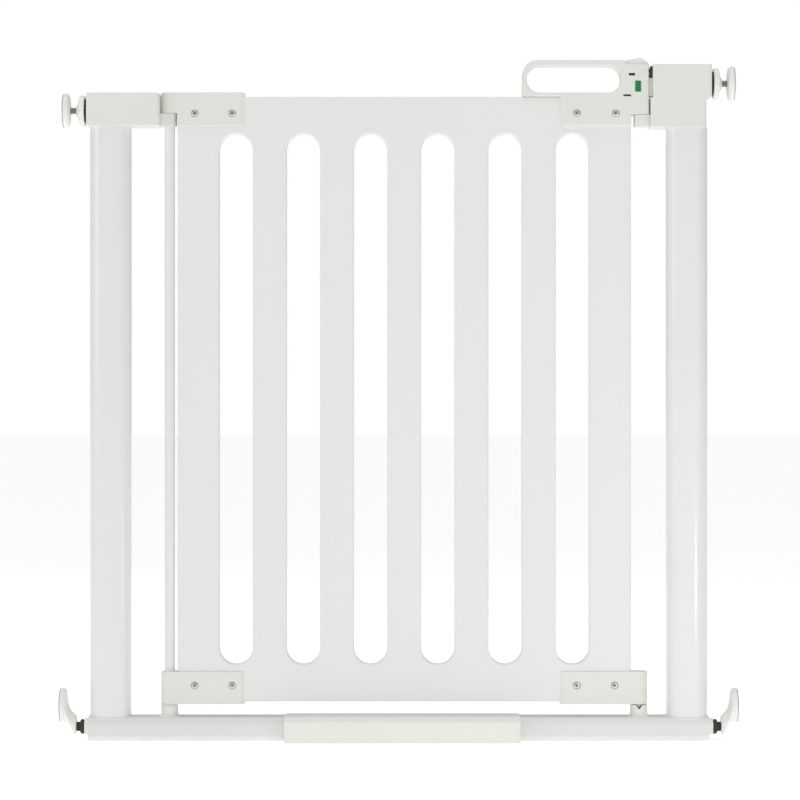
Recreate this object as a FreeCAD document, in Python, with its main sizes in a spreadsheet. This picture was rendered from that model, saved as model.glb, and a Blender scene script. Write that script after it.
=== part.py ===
import FreeCAD, Part
import os
from types import SimpleNamespace

import Sketcher

# Pressure-fit safety gate for a doorway. +X is to the right, +Y away from the viewer, +Z up.
# The origin is on the floor, under the middle of the base tube. All sizes are in millimetres.

V = FreeCAD.Vector
TURN_HALF = FreeCAD.Rotation(V(0, 0, 1), 180)

SIZES = {
    # clearances
    "moving_gap": (0.3, "gap between pieces that move past each other"),
    "running_fit": (0.05, "radial clearance of a shaft in its bore"),
    "seat_fit": (0.02, "clearance of a piece seated in another"),
    # base tube and posts
    "bar_reach": (364.5, "half length of the base tube"),
    "bar_height": (27.6, "height of the base tube"),
    "bar_depth": (44, "front to back size of the base tube"),
    "bar_round": (8, "corner radius of the base tube"),
    "tube_wall": (2, "wall of the steel tubes"),
    "post_across": (339.5, "centre of each post from the middle"),
    "post_width": (48, "width of a post"),
    "post_depth": (38, "depth of a post"),
    "post_round": (16, "corner radius of a post"),
    "left_post_top": (722.5, "top of the left post"),
    "right_post_top": (721, "top of the right post"),
    "plug_depth": (32, "length of the plugs inside the tubes"),
    "collar_reach": (370.2, "outer end of the base collars"),
    "collar_radius": (10, "radius of a base collar"),
    # threshold ramp
    "ramp_left": (-134, "left end of the threshold ramp"),
    "ramp_right": (142.5, "right end of the threshold ramp"),
    "ramp_reach": (44, "half depth of the threshold ramp"),
    "ramp_top": (28.2, "top of the threshold ramp"),
    "ramp_nose": (24.2, "height of its front and back faces"),
    "ramp_wall": (3, "wall of the ramp over its hollows"),
    # hinge side
    "hinge_across": (-270, "hinge axis across the gate"),
    "rod_radius": (6, "radius of the hinge rod"),
    "rod_low": (30, "lower end of the hinge rod"),
    "rod_high": (755, "upper end of the hinge rod"),
    "foot_radius": (10, "radius of the hinge foot"),
    "foot_high": (39.5, "top of the hinge foot"),
    "boss_flare": (3, "spread of the hinge foot and the catch cup on the base tube"),
    "hinge_case_left": (-366.9, "left face of the hinge housing"),
    "hinge_case_right": (-281, "right face of the hinge housing"),
    "hinge_case_top": (760.6, "top of the hinge housing"),
    "case_depth": (44, "depth of the housings on the posts"),
    "case_round": (3.5, "radius on the upright edges of the housings"),
    "hinge_bracket_top": (762, "top of the upper hinge bracket"),
    "lip_top": (737.4, "top of the hinge lip"),
    "lip_radius": (8.5, "half depth of the hinge lip"),
    # latch side
    "latch_case_left": (295.9, "left face of the latch housing"),
    "latch_case_step": (298.4, "left face above its step"),
    "latch_case_right": (361, "right face below the shoulder"),
    "shoulder_right": (367.6, "right face of the shoulder"),
    "shoulder_low": (756, "underside of the shoulder"),
    "latch_case_top": (794, "top of the latch housing"),
    "rest_left": (277.8, "left end of the closing rest"),
    "rest_low": (722.3, "underside of the closing rest"),
    "rest_high": (735.5, "top of the closing rest"),
    "rest_depth": (22, "depth of the closing rest"),
    "strike_right": (312, "blind end of the strike pocket"),
    "strike_low": (755.5, "bottom of the strike pocket"),
    "strike_high": (792.5, "top of the strike pocket"),
    "strike_width": (27, "width of the strike pocket, front to back"),
    "jaw_left": (295.5, "left tip of the strike jaws"),
    "jaw_low": (780.5, "underside of the strike jaws"),
    "jaw_gap": (21, "space between the strike jaws"),
    # leaf
    "panel_left": (-260.4, "hinge edge of the leaf panel"),
    "panel_right": (273.4, "closing edge of the leaf panel"),
    "panel_low": (45, "bottom of the leaf panel"),
    "panel_high": (757, "top of the leaf panel"),
    "panel_thick": (16, "thickness of the leaf panel"),
    "slot_pitch": (79.2, "spacing of the slots"),
    "slot_width": (39.2, "width of a slot"),
    "slot_margin": (43.9, "panel left above and below a slot"),
    "bracket_depth": (20, "depth of the corner brackets"),
    "bracket_bevel": (4, "length of the bevel on a bracket"),
    "bracket_edge": (0.8, "rounding of the bracket edges"),
    "barrel_radius": (10, "radius of the bracket barrels"),
    "bracket_low": (42, "underside of the lower brackets"),
    "bracket_high": (80.4, "top of the lower brackets"),
    "hinge_bracket_end": (-181.5, "inner end of the hinge brackets"),
    "catch_bracket_end": (190, "inner end of the catch bracket"),
    "catch_across": (283, "catch axis across the gate"),
    "bush_radius": (7.5, "outer radius of the hinge bushes"),
    "key_reach": (8.7, "reach of the bush keys from the axis"),
    "key_width": (2, "width of a bush key"),
    "lower_screw_level": (64.2, "height of the lower bracket screws"),
    "upper_screw_level": (737.4, "height of the upper bracket screws"),
    "screw_radius": (1.9, "radius of the bracket screws"),
    "head_radius": (4.3, "radius of a screw head"),
    "sleeve_radius": (2.9, "radius of a sleeve nut"),
    "head_seat": (8.9, "screw head seat from the mid plane"),
    # catch
    "cup_radius": (10.2, "radius of the catch cup"),
    "cup_high": (41, "top of the catch cup"),
    "pit_radius": (7, "radius of the pit in the cup"),
    "pit_low": (34.2, "bottom of the pit in the cup"),
    "tooth_radius": (5.8, "radius of the catch tooth"),
    "tooth_low": (35.6, "tip of the catch tooth"),
    # handle and latch
    "grip_left": (145.8, "left end of the handle"),
    "grip_top": (799.8, "top of the handle"),
    "grip_depth": (24, "depth of the handle"),
    "finger_left": (150.4, "left end of the finger opening"),
    "finger_right": (261.4, "right end of the finger opening"),
    "finger_low": (761.6, "bottom of the finger opening"),
    "finger_high": (793.2, "top of the finger opening"),
    "case_bracket_left": (188.7, "left end of the case's cheeks"),
    "latch_head_left": (258, "left side of the latch head"),
    "latch_head_right": (294.4, "right face of the latch head"),
    "latch_head_low": (735.9, "underside of the latch head"),
    "latch_head_top": (795.5, "top of the latch head"),
    "latch_head_depth": (24, "depth of the latch head"),
    "cavity_left": (264, "left end of the bolt cavity"),
    "cavity_right": (292, "right end of the bolt cavity"),
    "cavity_top": (791, "top of the bolt cavity"),
    "cavity_depth": (21, "depth of the bolt cavity"),
    "bolt_left": (276, "rear end of the bolt"),
    "bolt_right": (303, "tip of the bolt"),
    "bolt_low": (757.4, "underside of the bolt"),
    "bolt_high": (779, "top of the bolt"),
    "bolt_depth": (12, "depth of the bolt"),
    "tip_left": (287.2, "where the bolt widens to its tip"),
    "tip_depth": (20, "depth of the bolt's tip"),
    "neck_left": (275, "left side of the neck below the button"),
    "neck_right": (285, "right side of the neck"),
    "neck_depth": (6, "depth of the neck"),
    "latch_travel": (8, "how far the bolt is drawn"),
    "button_left": (263.8, "left end of the thumb button"),
    "button_depth": (16.4, "depth of the thumb button"),
    "window_left": (277.2, "left side of the indicator window"),
    "window_right": (285.8, "right side of the window"),
    "window_low": (761.8, "bottom of the window"),
    "window_high": (776.4, "top of the window"),
    "window_thick": (1.2, "thickness of the window"),
    "window_round": (2.4, "corner radius of the window"),
    "spring_radius": (3, "outer radius of the latch spring"),
    "spring_end": (287, "end of the latch spring inside the bolt"),
    # pressure spindles
    "spindle_radius": (4, "radius of the threaded spindles"),
    "spindle_length": (68, "length of a top spindle"),
    "left_top_level": (741, "height of the top left spindle"),
    "right_top_level": (773, "height of the top right spindle"),
    "bottom_level": (15, "height of the bottom spindles"),
    "bore_depth": (50, "depth of the spindle bore in a housing"),
    "wheel_radius": (18.2, "radius of a hand wheel"),
    "wheel_thick": (10.3, "thickness of a hand wheel"),
    "wheel_hub": (5.2, "radius of its hub at the tip of the cone"),
    "washer_thick": (2.8, "thickness of the washer face behind the wheel"),
    "washer_radius": (13.7, "radius of the washer face"),
    "flute_radius": (2.4, "radius of a flute on the rim"),
    "flute_count": (12, "flutes round the rim"),
    "pad_back": (387, "back of a top wall pad"),
    "pad_seat": (394.5, "seat of the rubber on a wall pad"),
    "pad_face": (395.5, "outer face of a wall pad"),
    "pad_radius": (20.2, "radius of a wall pad"),
    "nut_reach": (370.6, "inner face of a bottom nut"),
    "nut_thick": (4.7, "thickness of a bottom nut"),
    "nut_radius": (8.6, "corner radius of a bottom nut"),
    "nut_hub_radius": (5.5, "radius of the hub of a bottom nut"),
    "nut_hub_end": (379.7, "outer end of the hub"),
    "socket_back": (380, "inner end of a foot's socket"),
    "socket_radius": (6.5, "radius of a foot's socket"),
    "socket_depth": (5.5, "depth of a foot's socket"),
    "foot_seat": (398.3, "seat of the rubber on a foot"),
    "foot_face": (399.3, "outer face of a foot"),
    "foot_offset": (25, "rise of a bottom pad above its spindle"),
}


class Size:
    """A length together with the sheet expression that gives it."""

    def __init__(self, value, text):
        self.value = float(value)
        self.text = text

    def _join(self, sign, other, flipped=False):
        first, second = (Size.of(other), self) if flipped else (self, Size.of(other))
        value = {
            "+": first.value + second.value,
            "-": first.value - second.value,
            "*": first.value * second.value,
        }[sign]
        return Size(value, f"({first.text} {sign} {second.text})")

    @staticmethod
    def of(item):
        return item if isinstance(item, Size) else Size(item, repr(float(item)))

    def __add__(self, other):
        return self._join("+", other)

    def __radd__(self, other):
        return self._join("+", other, True)

    def __sub__(self, other):
        return self._join("-", other)

    def __rsub__(self, other):
        return self._join("-", other, True)

    def __mul__(self, other):
        return self._join("*", other)

    def __rmul__(self, other):
        return self._join("*", other, True)

    def __neg__(self):
        return self._join("*", -1)

    @property
    def half(self):
        return self._join("*", 0.5)


def make_sheet(doc):
    """Fill the sheet of driving dimensions and return them by name."""
    sheet = doc.addObject("Spreadsheet::Sheet", "sizes")
    sheet.Label = "sizes"
    for row, (alias, (value, note)) in enumerate(SIZES.items(), 1):
        sheet.set(f"A{row}", note)
        sheet.set(f"B{row}", str(value))
        sheet.setAlias(f"B{row}", alias)
    doc.recompute()
    return SimpleNamespace(**{alias: Size(value, f"<<sizes>>.{alias}") for alias, (value, _) in SIZES.items()})


doc = FreeCAD.newDocument("safety_gate")
d = make_sheet(doc)


# ---- sketch helpers


def tie(sketch, kind, geometry, point, size):
    """Hold one coordinate of a sketch point to a size of the sheet."""
    size = Size.of(size)
    number = sketch.addConstraint(Sketcher.Constraint(kind, geometry, point, size.value))
    sketch.setExpression(f"Constraints[{number}]", size.text)


def tie_radius(sketch, geometry, size):
    size = Size.of(size)
    number = sketch.addConstraint(Sketcher.Constraint("Radius", geometry, size.value))
    sketch.setExpression(f"Constraints[{number}]", size.text)


def outline(sketch, corners):
    """A closed polygon whose corners are pairs of sizes, across and up."""
    first = sketch.GeometryCount
    pairs = [(Size.of(across), Size.of(up)) for across, up in corners]
    points = [V(across.value, up.value, 0) for across, up in pairs]
    count = len(points)
    for index in range(count):
        sketch.addGeometry(Part.LineSegment(points[index], points[(index + 1) % count]), False)
    for index in range(count):
        following = first + (index + 1) % count
        sketch.addConstraint(Sketcher.Constraint("Coincident", first + index, 2, following, 1))
    for index, (across, up) in enumerate(pairs):
        tie(sketch, "DistanceX", first + index, 1, across)
        tie(sketch, "DistanceY", first + index, 1, up)


def rectangle(sketch, left, low, right, high):
    outline(sketch, [(left, low), (right, low), (right, high), (left, high)])


def circle(sketch, across, up, radius):
    across, up, radius = Size.of(across), Size.of(up), Size.of(radius)
    ring = Part.Circle(V(across.value, up.value, 0), V(0, 0, 1), radius.value)
    number = sketch.addGeometry(ring, False)
    tie(sketch, "DistanceX", number, 3, across)
    tie(sketch, "DistanceY", number, 3, up)
    tie_radius(sketch, number, radius)


def rounded(sketch, left, low, right, high, radius):
    """A rectangle with round corners: four arcs joined by tangent lines."""
    left, low, right, high, radius = (Size.of(item) for item in (left, low, right, high, radius))
    near_left, near_right = left + radius, right - radius
    near_low, near_high = low + radius, high - radius
    centres = [(near_right, near_high), (near_left, near_high), (near_left, near_low), (near_right, near_low)]
    quarter = 1.5707963267948966
    arcs = []
    for index, (across, up) in enumerate(centres):
        ring = Part.Circle(V(across.value, up.value, 0), V(0, 0, 1), radius.value)
        arc = Part.ArcOfCircle(ring, index * quarter, (index + 1) * quarter)
        arcs.append((sketch.addGeometry(arc, False), arc))
    for index, (number, arc) in enumerate(arcs):
        following, following_arc = arcs[(index + 1) % 4]
        line = sketch.addGeometry(Part.LineSegment(arc.EndPoint, following_arc.StartPoint), False)
        sketch.addConstraint(Sketcher.Constraint("Tangent", number, 2, line, 1))
        sketch.addConstraint(Sketcher.Constraint("Tangent", line, 2, following, 1))
    for (number, _), (across, up) in zip(arcs, centres):
        tie(sketch, "DistanceX", number, 3, across)
        tie(sketch, "DistanceY", number, 3, up)
    tie_radius(sketch, arcs[0][0], radius)
    for number, _ in arcs[1:3]:
        sketch.addConstraint(Sketcher.Constraint("Equal", arcs[0][0], number))


def stadium(sketch, first, second, radius):
    """A slot: two half circles about two centres, joined by tangent lines."""
    first = tuple(Size.of(item) for item in first)
    second = tuple(Size.of(item) for item in second)
    radius = Size.of(radius)
    start = V(first[0].value, first[1].value, 0)
    end = V(second[0].value, second[1].value, 0)
    lengthwise = (end - start).getAngle(V(1, 0, 0))
    right_angle = 1.5707963267948966
    arcs = []
    for centre, sense in ((end, -1), (start, 1)):
        ring = Part.Circle(centre, V(0, 0, 1), radius.value)
        begin = lengthwise + sense * right_angle
        arcs.append(Part.ArcOfCircle(ring, begin, begin + 2 * right_angle))
    numbers = [sketch.addGeometry(arc, False) for arc in arcs]
    for here, there in ((0, 1), (1, 0)):
        line = sketch.addGeometry(Part.LineSegment(arcs[here].EndPoint, arcs[there].StartPoint), False)
        sketch.addConstraint(Sketcher.Constraint("Tangent", numbers[here], 2, line, 1))
        sketch.addConstraint(Sketcher.Constraint("Tangent", line, 2, numbers[there], 1))
    for number, centre in zip(numbers, (second, first)):
        tie(sketch, "DistanceX", number, 3, centre[0])
        tie(sketch, "DistanceY", number, 3, centre[1])
    tie_radius(sketch, numbers[0], radius)


# ---- one sub-part as a body


class Piece:
    """A sub-part: a PartDesign body with its sketches and features in order."""

    made = []

    def __init__(self, label):
        self.body = doc.addObject("PartDesign::Body", label)
        self.body.Label = label
        Piece.made.append(self.body)

    def place(self, across=0, up=0, rotation=None):
        """Move the body to a place given by the sheet."""
        if rotation is not None:
            self.body.Placement = FreeCAD.Placement(V(0, 0, 0), rotation)
        self.body.setExpression("Placement.Base.x", Size.of(across).text)
        self.body.setExpression("Placement.Base.z", Size.of(up).text)
        return self

    def sketch(self, plane, along=0):
        """An empty sketch on an origin plane, moved along the plane's normal."""
        sketch = self.body.newObject("Sketcher::SketchObject", f"{self.body.Name}_sketch")
        role = f"{plane}_Plane"
        support = next(item for item in self.body.Origin.OriginFeatures if item.Role == role)
        sketch.AttachmentSupport = [(support, "")]
        sketch.MapMode = "FlatFace"
        sketch.setExpression("AttachmentOffset.Base.z", Size.of(along).text)
        return sketch

    def _feature(self, kind, sketch):
        feature = self.body.newObject(f"PartDesign::{kind}", f"{self.body.Name}_{kind.lower()}")
        feature.Profile = sketch
        sketch.Visibility = False
        return feature

    def pad(self, sketch, length, both=False, way=1):
        """Add material: way 1 goes along the sketch's normal, both goes half each way."""
        feature = self._feature("Pad", sketch)
        feature.setExpression("Length", Size.of(length).text)
        feature.Midplane = both
        feature.Reversed = way < 0
        doc.recompute()
        return feature

    def pocket(self, sketch, length, both=False, way=1):
        """Cut material, and check that the cut takes some away."""
        before = self.body.Shape.Volume
        feature = self._feature("Pocket", sketch)
        feature.setExpression("Length", Size.of(length).text)
        feature.Midplane = both
        feature.Reversed = way > 0
        doc.recompute()
        if not self.body.Shape.Volume < before - 0.01:
            raise ValueError(f"{feature.Name} cuts nothing")
        return feature

    def revolve(self, sketch, axis="H_Axis", cut=False):
        """A full turn of the sketch about one of its own axes."""
        before = self.body.Shape.Volume if cut else 0
        feature = self._feature("Groove" if cut else "Revolution", sketch)
        feature.ReferenceAxis = (sketch, [axis])
        feature.Angle = 360
        doc.recompute()
        if cut and not self.body.Shape.Volume < before - 0.01:
            raise ValueError(f"{feature.Name} cuts nothing")
        return feature

    def _dress(self, kind, prop, size, wanted):
        base = self.body.Tip
        names = [f"Edge{index}" for index, edge in enumerate(base.Shape.Edges, 1) if wanted(edge)]
        if not names:
            raise ValueError(f"{self.body.Label}: no edges found for {kind}")
        feature = self.body.newObject(f"PartDesign::{kind}", f"{self.body.Name}_{kind.lower()}")
        feature.Base = (base, names)
        feature.setExpression(prop, Size.of(size).text)
        doc.recompute()
        return feature

    def fillet(self, radius, wanted):
        return self._dress("Fillet", "Radius", radius, wanted)

    def chamfer(self, size, wanted):
        return self._dress("Chamfer", "Size", size, wanted)

    def around(self, feature, count, axis="X_Axis"):
        """Repeat a feature evenly round one of the body's axes."""
        pattern = self.body.newObject("PartDesign::PolarPattern", f"{self.body.Name}_pattern")
        pattern.Originals = [feature]
        line = next(item for item in self.body.Origin.OriginFeatures if item.Role == axis)
        pattern.Axis = (line, [""])
        pattern.Angle = 360
        pattern.setExpression("Occurrences", Size.of(count).text)
        self.body.Tip = pattern
        doc.recompute()
        return pattern


def runs_along(axis):
    """Chooser of straight edges parallel to an axis."""
    direction = {"x": V(1, 0, 0), "y": V(0, 1, 0), "z": V(0, 0, 1)}[axis]

    def wanted(edge):
        straight = isinstance(edge.Curve, Part.Line)
        return straight and abs(edge.tangentAt(edge.FirstParameter).dot(direction)) > 0.999

    return wanted


def lies_at(**places):
    """Chooser of edges that lie wholly at a coordinate, such as z=762."""
    limits = [(axis.upper(), Size.of(size).value) for axis, size in places.items()]

    def wanted(edge):
        box = edge.BoundBox
        return all(
            abs(getattr(box, f"{axis}Min") - value) < 0.01 and abs(getattr(box, f"{axis}Max") - value) < 0.01
            for axis, value in limits
        )

    return wanted


def all_of(*choosers):
    return lambda edge: all(chooser(edge) for chooser in choosers)


def any_of(*choosers):
    return lambda edge: any(chooser(edge) for chooser in choosers)


# ---- fixed frame


def bar_section(sketch, inset=0):
    """Section of the base tube in a YZ sketch."""
    side = d.bar_depth.half - inset
    rounded(sketch, -side, Size.of(inset), side, d.bar_height - inset, d.bar_round - inset)


def make_base_bar():
    piece = Piece("base_bar")
    sketch = piece.sketch("YZ", -d.bar_reach)
    bar_section(sketch)
    bar_section(sketch, d.tube_wall)
    piece.pad(sketch, d.bar_reach * 2)


def make_collar(label, side):
    """End plug of the base tube with its round collar; side is -1 at the left."""
    piece = Piece(label)
    plug_inset = d.tube_wall + d.seat_fit
    sketch = piece.sketch("YZ", d.bar_reach - d.plug_depth)
    bar_section(sketch, plug_inset)
    piece.pad(sketch, d.plug_depth)
    sketch = piece.sketch("YZ", d.bar_reach)
    circle(sketch, 0, d.bottom_level, d.collar_radius)
    piece.pad(sketch, d.collar_reach - d.bar_reach)
    sketch = piece.sketch("YZ", d.collar_reach)
    circle(sketch, 0, d.bottom_level, d.spindle_radius + d.running_fit)
    piece.pocket(sketch, 60, way=-1)
    piece.fillet(1, all_of(lies_at(x=d.collar_reach), lambda edge: edge.BoundBox.ZLength > 12))
    piece.place(rotation=TURN_HALF if side < 0 else None)


def post_section(sketch, across, inset=0):
    """Section of a post in an XY sketch."""
    width, depth = d.post_width.half - inset, d.post_depth.half - inset
    rounded(sketch, across - width, -depth, across + width, depth, d.post_round - inset)


def make_post(label, side, top):
    """A steel post, its foot cut to sit over the rounded base tube."""
    piece = Piece(label)
    across = d.post_across * side
    sketch = piece.sketch("XY", d.bar_height - d.bar_round)
    post_section(sketch, across)
    post_section(sketch, across, d.tube_wall)
    piece.pad(sketch, top - d.bar_height + d.bar_round)
    sketch = piece.sketch("YZ", across - d.post_width)
    bar_section(sketch)
    piece.pocket(sketch, d.post_width * 2, way=1)


def make_ramp():
    """Threshold ramp that sits astride the base tube, hollow underneath."""
    piece = Piece("threshold_ramp")
    length = d.ramp_right - d.ramp_left
    sketch = piece.sketch("YZ", d.ramp_left)
    crest = d.bar_depth.half
    reach = d.ramp_reach
    sides = [(reach, 0), (reach, d.ramp_nose), (crest, d.ramp_top)]
    outline(sketch, sides + [(-across, up) for across, up in reversed(sides)])
    piece.pad(sketch, length)
    upright = any_of(all_of(runs_along("z"), lies_at(y=reach)), all_of(runs_along("z"), lies_at(y=-reach)))
    piece.fillet(6, upright)
    sketch = piece.sketch("YZ", d.ramp_left - 1)
    crest_inside = crest + d.running_fit
    rectangle(sketch, -crest_inside, -1, crest_inside, d.bar_height + d.running_fit)
    piece.pocket(sketch, length + 2, way=1)
    cells = 4
    pitch = (length - d.ramp_wall) * (1 / cells)
    for side in (-1, 1):
        sketch = piece.sketch("XY", 0)
        for cell in range(cells):
            start = d.ramp_left + d.ramp_wall + pitch * cell
            near, far = (crest + d.ramp_wall) * side, (reach - d.ramp_wall) * side
            rectangle(sketch, start, near, start + pitch - d.ramp_wall, far)
        piece.pocket(sketch, d.ramp_nose - d.ramp_wall, way=1)


def post_plug(piece, side, top):
    """Plug of a housing inside its post."""
    sketch = piece.sketch("XY", top - d.plug_depth)
    post_section(sketch, d.post_across * side, d.tube_wall + d.seat_fit)
    piece.pad(sketch, d.plug_depth)


def make_hinge_housing():
    piece = Piece("hinge_housing")
    sketch = piece.sketch("XZ")
    rectangle(sketch, d.hinge_case_left, d.left_post_top, d.hinge_case_right, d.hinge_case_top)
    piece.pad(sketch, d.case_depth, both=True)
    piece.fillet(d.case_round, runs_along("z"))
    piece.fillet(1.2, lies_at(z=d.hinge_case_top))
    sketch = piece.sketch("XY", d.left_post_top)
    rectangle(sketch, d.hinge_case_right - 2, -d.lip_radius, d.hinge_across, d.lip_radius)
    piece.pad(sketch, d.lip_top - d.left_post_top)
    sketch = piece.sketch("XY", d.left_post_top)
    circle(sketch, d.hinge_across, 0, d.lip_radius)
    piece.pad(sketch, d.lip_top - d.left_post_top)
    post_plug(piece, -1, d.left_post_top)
    sketch = piece.sketch("XY", d.left_post_top)
    circle(sketch, d.hinge_across, 0, d.rod_radius + d.seat_fit)
    piece.pocket(sketch, 40, way=1)
    sketch = piece.sketch("YZ", d.hinge_case_left)
    circle(sketch, 0, d.left_top_level, d.spindle_radius + d.running_fit)
    piece.pocket(sketch, d.bore_depth + 30, way=1)


def make_latch_housing():
    piece = Piece("latch_housing")
    sketch = piece.sketch("XZ")
    outline(
        sketch,
        [
            (d.latch_case_left, d.right_post_top),
            (d.latch_case_right, d.right_post_top),
            (d.latch_case_right, d.shoulder_low),
            (d.shoulder_right, d.shoulder_low),
            (d.shoulder_right, d.latch_case_top),
            (d.latch_case_step, d.latch_case_top),
            (d.latch_case_step, d.strike_low - 0.5),
            (d.latch_case_left, d.strike_low - 0.5),
        ],
    )
    piece.pad(sketch, d.case_depth, both=True)
    right_edges = any_of(lies_at(x=d.latch_case_right), lies_at(x=d.shoulder_right))
    piece.fillet(d.case_round, all_of(runs_along("z"), right_edges))
    piece.fillet(2, all_of(runs_along("z"), any_of(lies_at(x=d.latch_case_left), lies_at(x=d.latch_case_step))))
    piece.fillet(1.2, lies_at(z=d.latch_case_top))
    sketch = piece.sketch("XZ")
    rectangle(sketch, d.rest_left, d.rest_low, d.latch_case_left + 4, d.rest_high)
    piece.pad(sketch, d.rest_depth, both=True)
    post_plug(piece, 1, d.right_post_top)
    sketch = piece.sketch("XZ")
    rectangle(sketch, d.latch_case_left - 4, d.strike_low, d.strike_right, d.strike_high)
    piece.pocket(sketch, d.strike_width, both=True)
    sketch = piece.sketch("YZ", d.shoulder_right)
    circle(sketch, 0, d.right_top_level, d.spindle_radius + d.running_fit)
    piece.pocket(sketch, d.bore_depth, way=-1)


def make_strike_liner():
    """Black liner of the strike pocket: an end wall and two jaws beside the bolt's path."""
    piece = Piece("strike_liner")
    width = d.strike_width - d.seat_fit * 2
    wall_left = d.strike_right - 2
    sketch = piece.sketch("XZ")
    outline(
        sketch,
        [
            (d.strike_right - d.seat_fit, d.strike_low + 0.1),
            (d.strike_right - d.seat_fit, d.strike_high - 0.1),
            (d.jaw_left, d.strike_high - 0.1),
            (d.jaw_left, d.jaw_low),
            (wall_left, d.jaw_low),
            (wall_left, d.strike_low + 0.1),
        ],
    )
    piece.pad(sketch, width, both=True)
    sketch = piece.sketch("XZ")
    rectangle(sketch, d.jaw_left - 2, d.strike_low - 2, wall_left, d.strike_high + 2)
    piece.pocket(sketch, d.jaw_gap, both=True)
    sketch = piece.sketch("XZ")
    spread = d.latch_case_step + 1.2
    notch = [(d.jaw_left + 1.1, d.jaw_low + 5.4), (spread, d.jaw_low + 4), (spread, d.jaw_low + 10)]
    outline(sketch, notch)
    piece.pocket(sketch, d.strike_width + 2, both=True)


def make_hinge_rod():
    rod = doc.addObject("Part::Cylinder", "hinge_rod")
    rod.Label = "hinge_rod"
    rod.setExpression("Radius", d.rod_radius.text)
    rod.setExpression("Height", (d.rod_high - d.rod_low).text)
    rod.setExpression("Placement.Base.x", d.hinge_across.text)
    rod.setExpression("Placement.Base.z", d.rod_low.text)
    Piece.made.append(rod)


def make_hinge_foot():
    """Boss on the base tube that holds the lower end of the hinge rod."""
    piece = Piece("hinge_foot")
    sketch = piece.sketch("XZ")
    bore = d.rod_radius + d.seat_fit
    outline(
        sketch,
        [
            (0, d.bar_height),
            (d.foot_radius + d.boss_flare, d.bar_height),
            (d.foot_radius + d.boss_flare * 0.3, d.bar_height + d.boss_flare * 0.4),
            (d.foot_radius, d.bar_height + d.boss_flare * 1.2),
            (d.foot_radius, d.foot_high),
            (bore, d.foot_high),
            (bore, d.rod_low),
            (0, d.rod_low),
        ],
    )
    piece.revolve(sketch, "V_Axis")
    piece.place(d.hinge_across)


def make_catch_cup():
    """Cup on the base tube: a conical pit with a narrower notch at the front."""
    piece = Piece("catch_cup")
    sketch = piece.sketch("XZ")
    outline(
        sketch,
        [
            (0, d.bar_height),
            (d.cup_radius + d.boss_flare, d.bar_height),
            (d.cup_radius + d.boss_flare * 0.3, d.bar_height + d.boss_flare * 0.4),
            (d.cup_radius, d.bar_height + d.boss_flare * 1.2),
            (d.cup_radius, d.cup_high),
            (d.pit_radius, d.cup_high),
            (2, d.pit_low),
            (0, d.pit_low),
        ],
    )
    piece.revolve(sketch, "V_Axis")
    sketch = piece.sketch("XZ")
    notch = d.tooth_radius - 0.6
    outline(sketch, [(0, d.tooth_low), (notch, d.cup_high + 1), (-notch, d.cup_high + 1)])
    piece.pocket(sketch, d.cup_radius + 2, way=1)
    piece.place(d.catch_across)


# ---- leaf


def make_leaf_panel():
    piece = Piece("leaf_panel")
    sketch = piece.sketch("XZ")
    rectangle(sketch, d.panel_left, d.panel_low, d.panel_right, d.panel_high)
    piece.pad(sketch, d.panel_thick, both=True)
    sketch = piece.sketch("XZ")
    radius = d.slot_width.half
    middle = (d.panel_left + d.panel_right).half
    low, high = d.panel_low + d.slot_margin + radius, d.panel_high - d.slot_margin - radius
    slots = 6
    for slot in range(slots):
        across = middle + d.slot_pitch * (slot - (slots - 1) / 2)
        stadium(sketch, (across, low), (across, high), radius)
    piece.pocket(sketch, d.panel_thick + 4, both=True)
    front_and_back = any_of(lies_at(y=d.panel_thick.half), lies_at(y=-d.panel_thick.half))
    piece.fillet(2.5, front_and_back)
    holes = piece.sketch("XZ")
    for across, level in screw_places():
        circle(holes, across, level, d.sleeve_radius + 0.1)
    piece.pocket(holes, d.panel_thick + 4, both=True)


HINGE_SCREWS = (-240, -196)
CATCH_SCREWS = (209.6, 254)
LATCH_SCREWS = (209.6, 255.2)
# The two dark slots through the latch case: left, low, right and high.
CASE_SLOTS = ((270.6, 781.5, 278, 784.6), (264.2, 757.2, 273.2, 759.5))


def screw_places():
    """Where the bracket screws are, across and up."""
    lower = [(across, d.lower_screw_level) for across in HINGE_SCREWS + CATCH_SCREWS]
    return lower + [(across, d.upper_screw_level) for across in HINGE_SCREWS + LATCH_SCREWS]


def screw_holes(piece, across_places, level):
    """Clearance holes through a bracket, with a counterbore on each face."""
    sketch = piece.sketch("XZ")
    for across in across_places:
        circle(sketch, across, level, d.sleeve_radius + 0.1)
    piece.pocket(sketch, d.latch_head_depth * 2, both=True)
    for way in (-1, 1):
        sketch = piece.sketch("XZ", d.head_seat * way)
        for across in across_places:
            circle(sketch, across, level, d.head_radius + 0.3)
        piece.pocket(sketch, 8, way=way)


def cheeks(piece, tip, root, low, high):
    """Bracket body in plan: two cheeks and a core, bevelled to the panel at the tip."""
    side = 1 if root.value > tip.value else -1
    bevel = tip + d.bracket_bevel * side
    outer, inner = d.bracket_depth.half, d.panel_thick.half
    half = [(root, outer), (bevel, outer), (tip, inner)]
    sketch = piece.sketch("XY", low)
    outline(sketch, half + [(across, -depth) for across, depth in reversed(half)])
    piece.pad(sketch, high - low)


def soften(piece, low, high):
    """Round the edges round the top and underside of a bracket."""
    piece.fillet(d.bracket_edge, any_of(lies_at(z=low), lies_at(z=high)))


def panel_seat(piece, left, low, right, high):
    """Cut the space that the panel fills inside a bracket."""
    sketch = piece.sketch("XZ")
    rectangle(sketch, left, low, right, high)
    piece.pocket(sketch, d.panel_thick + d.seat_fit * 2, both=True)


def barrel(piece, across, low, high, radius):
    sketch = piece.sketch("XY", low)
    circle(sketch, across, 0, radius)
    piece.pad(sketch, high - low)


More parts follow.
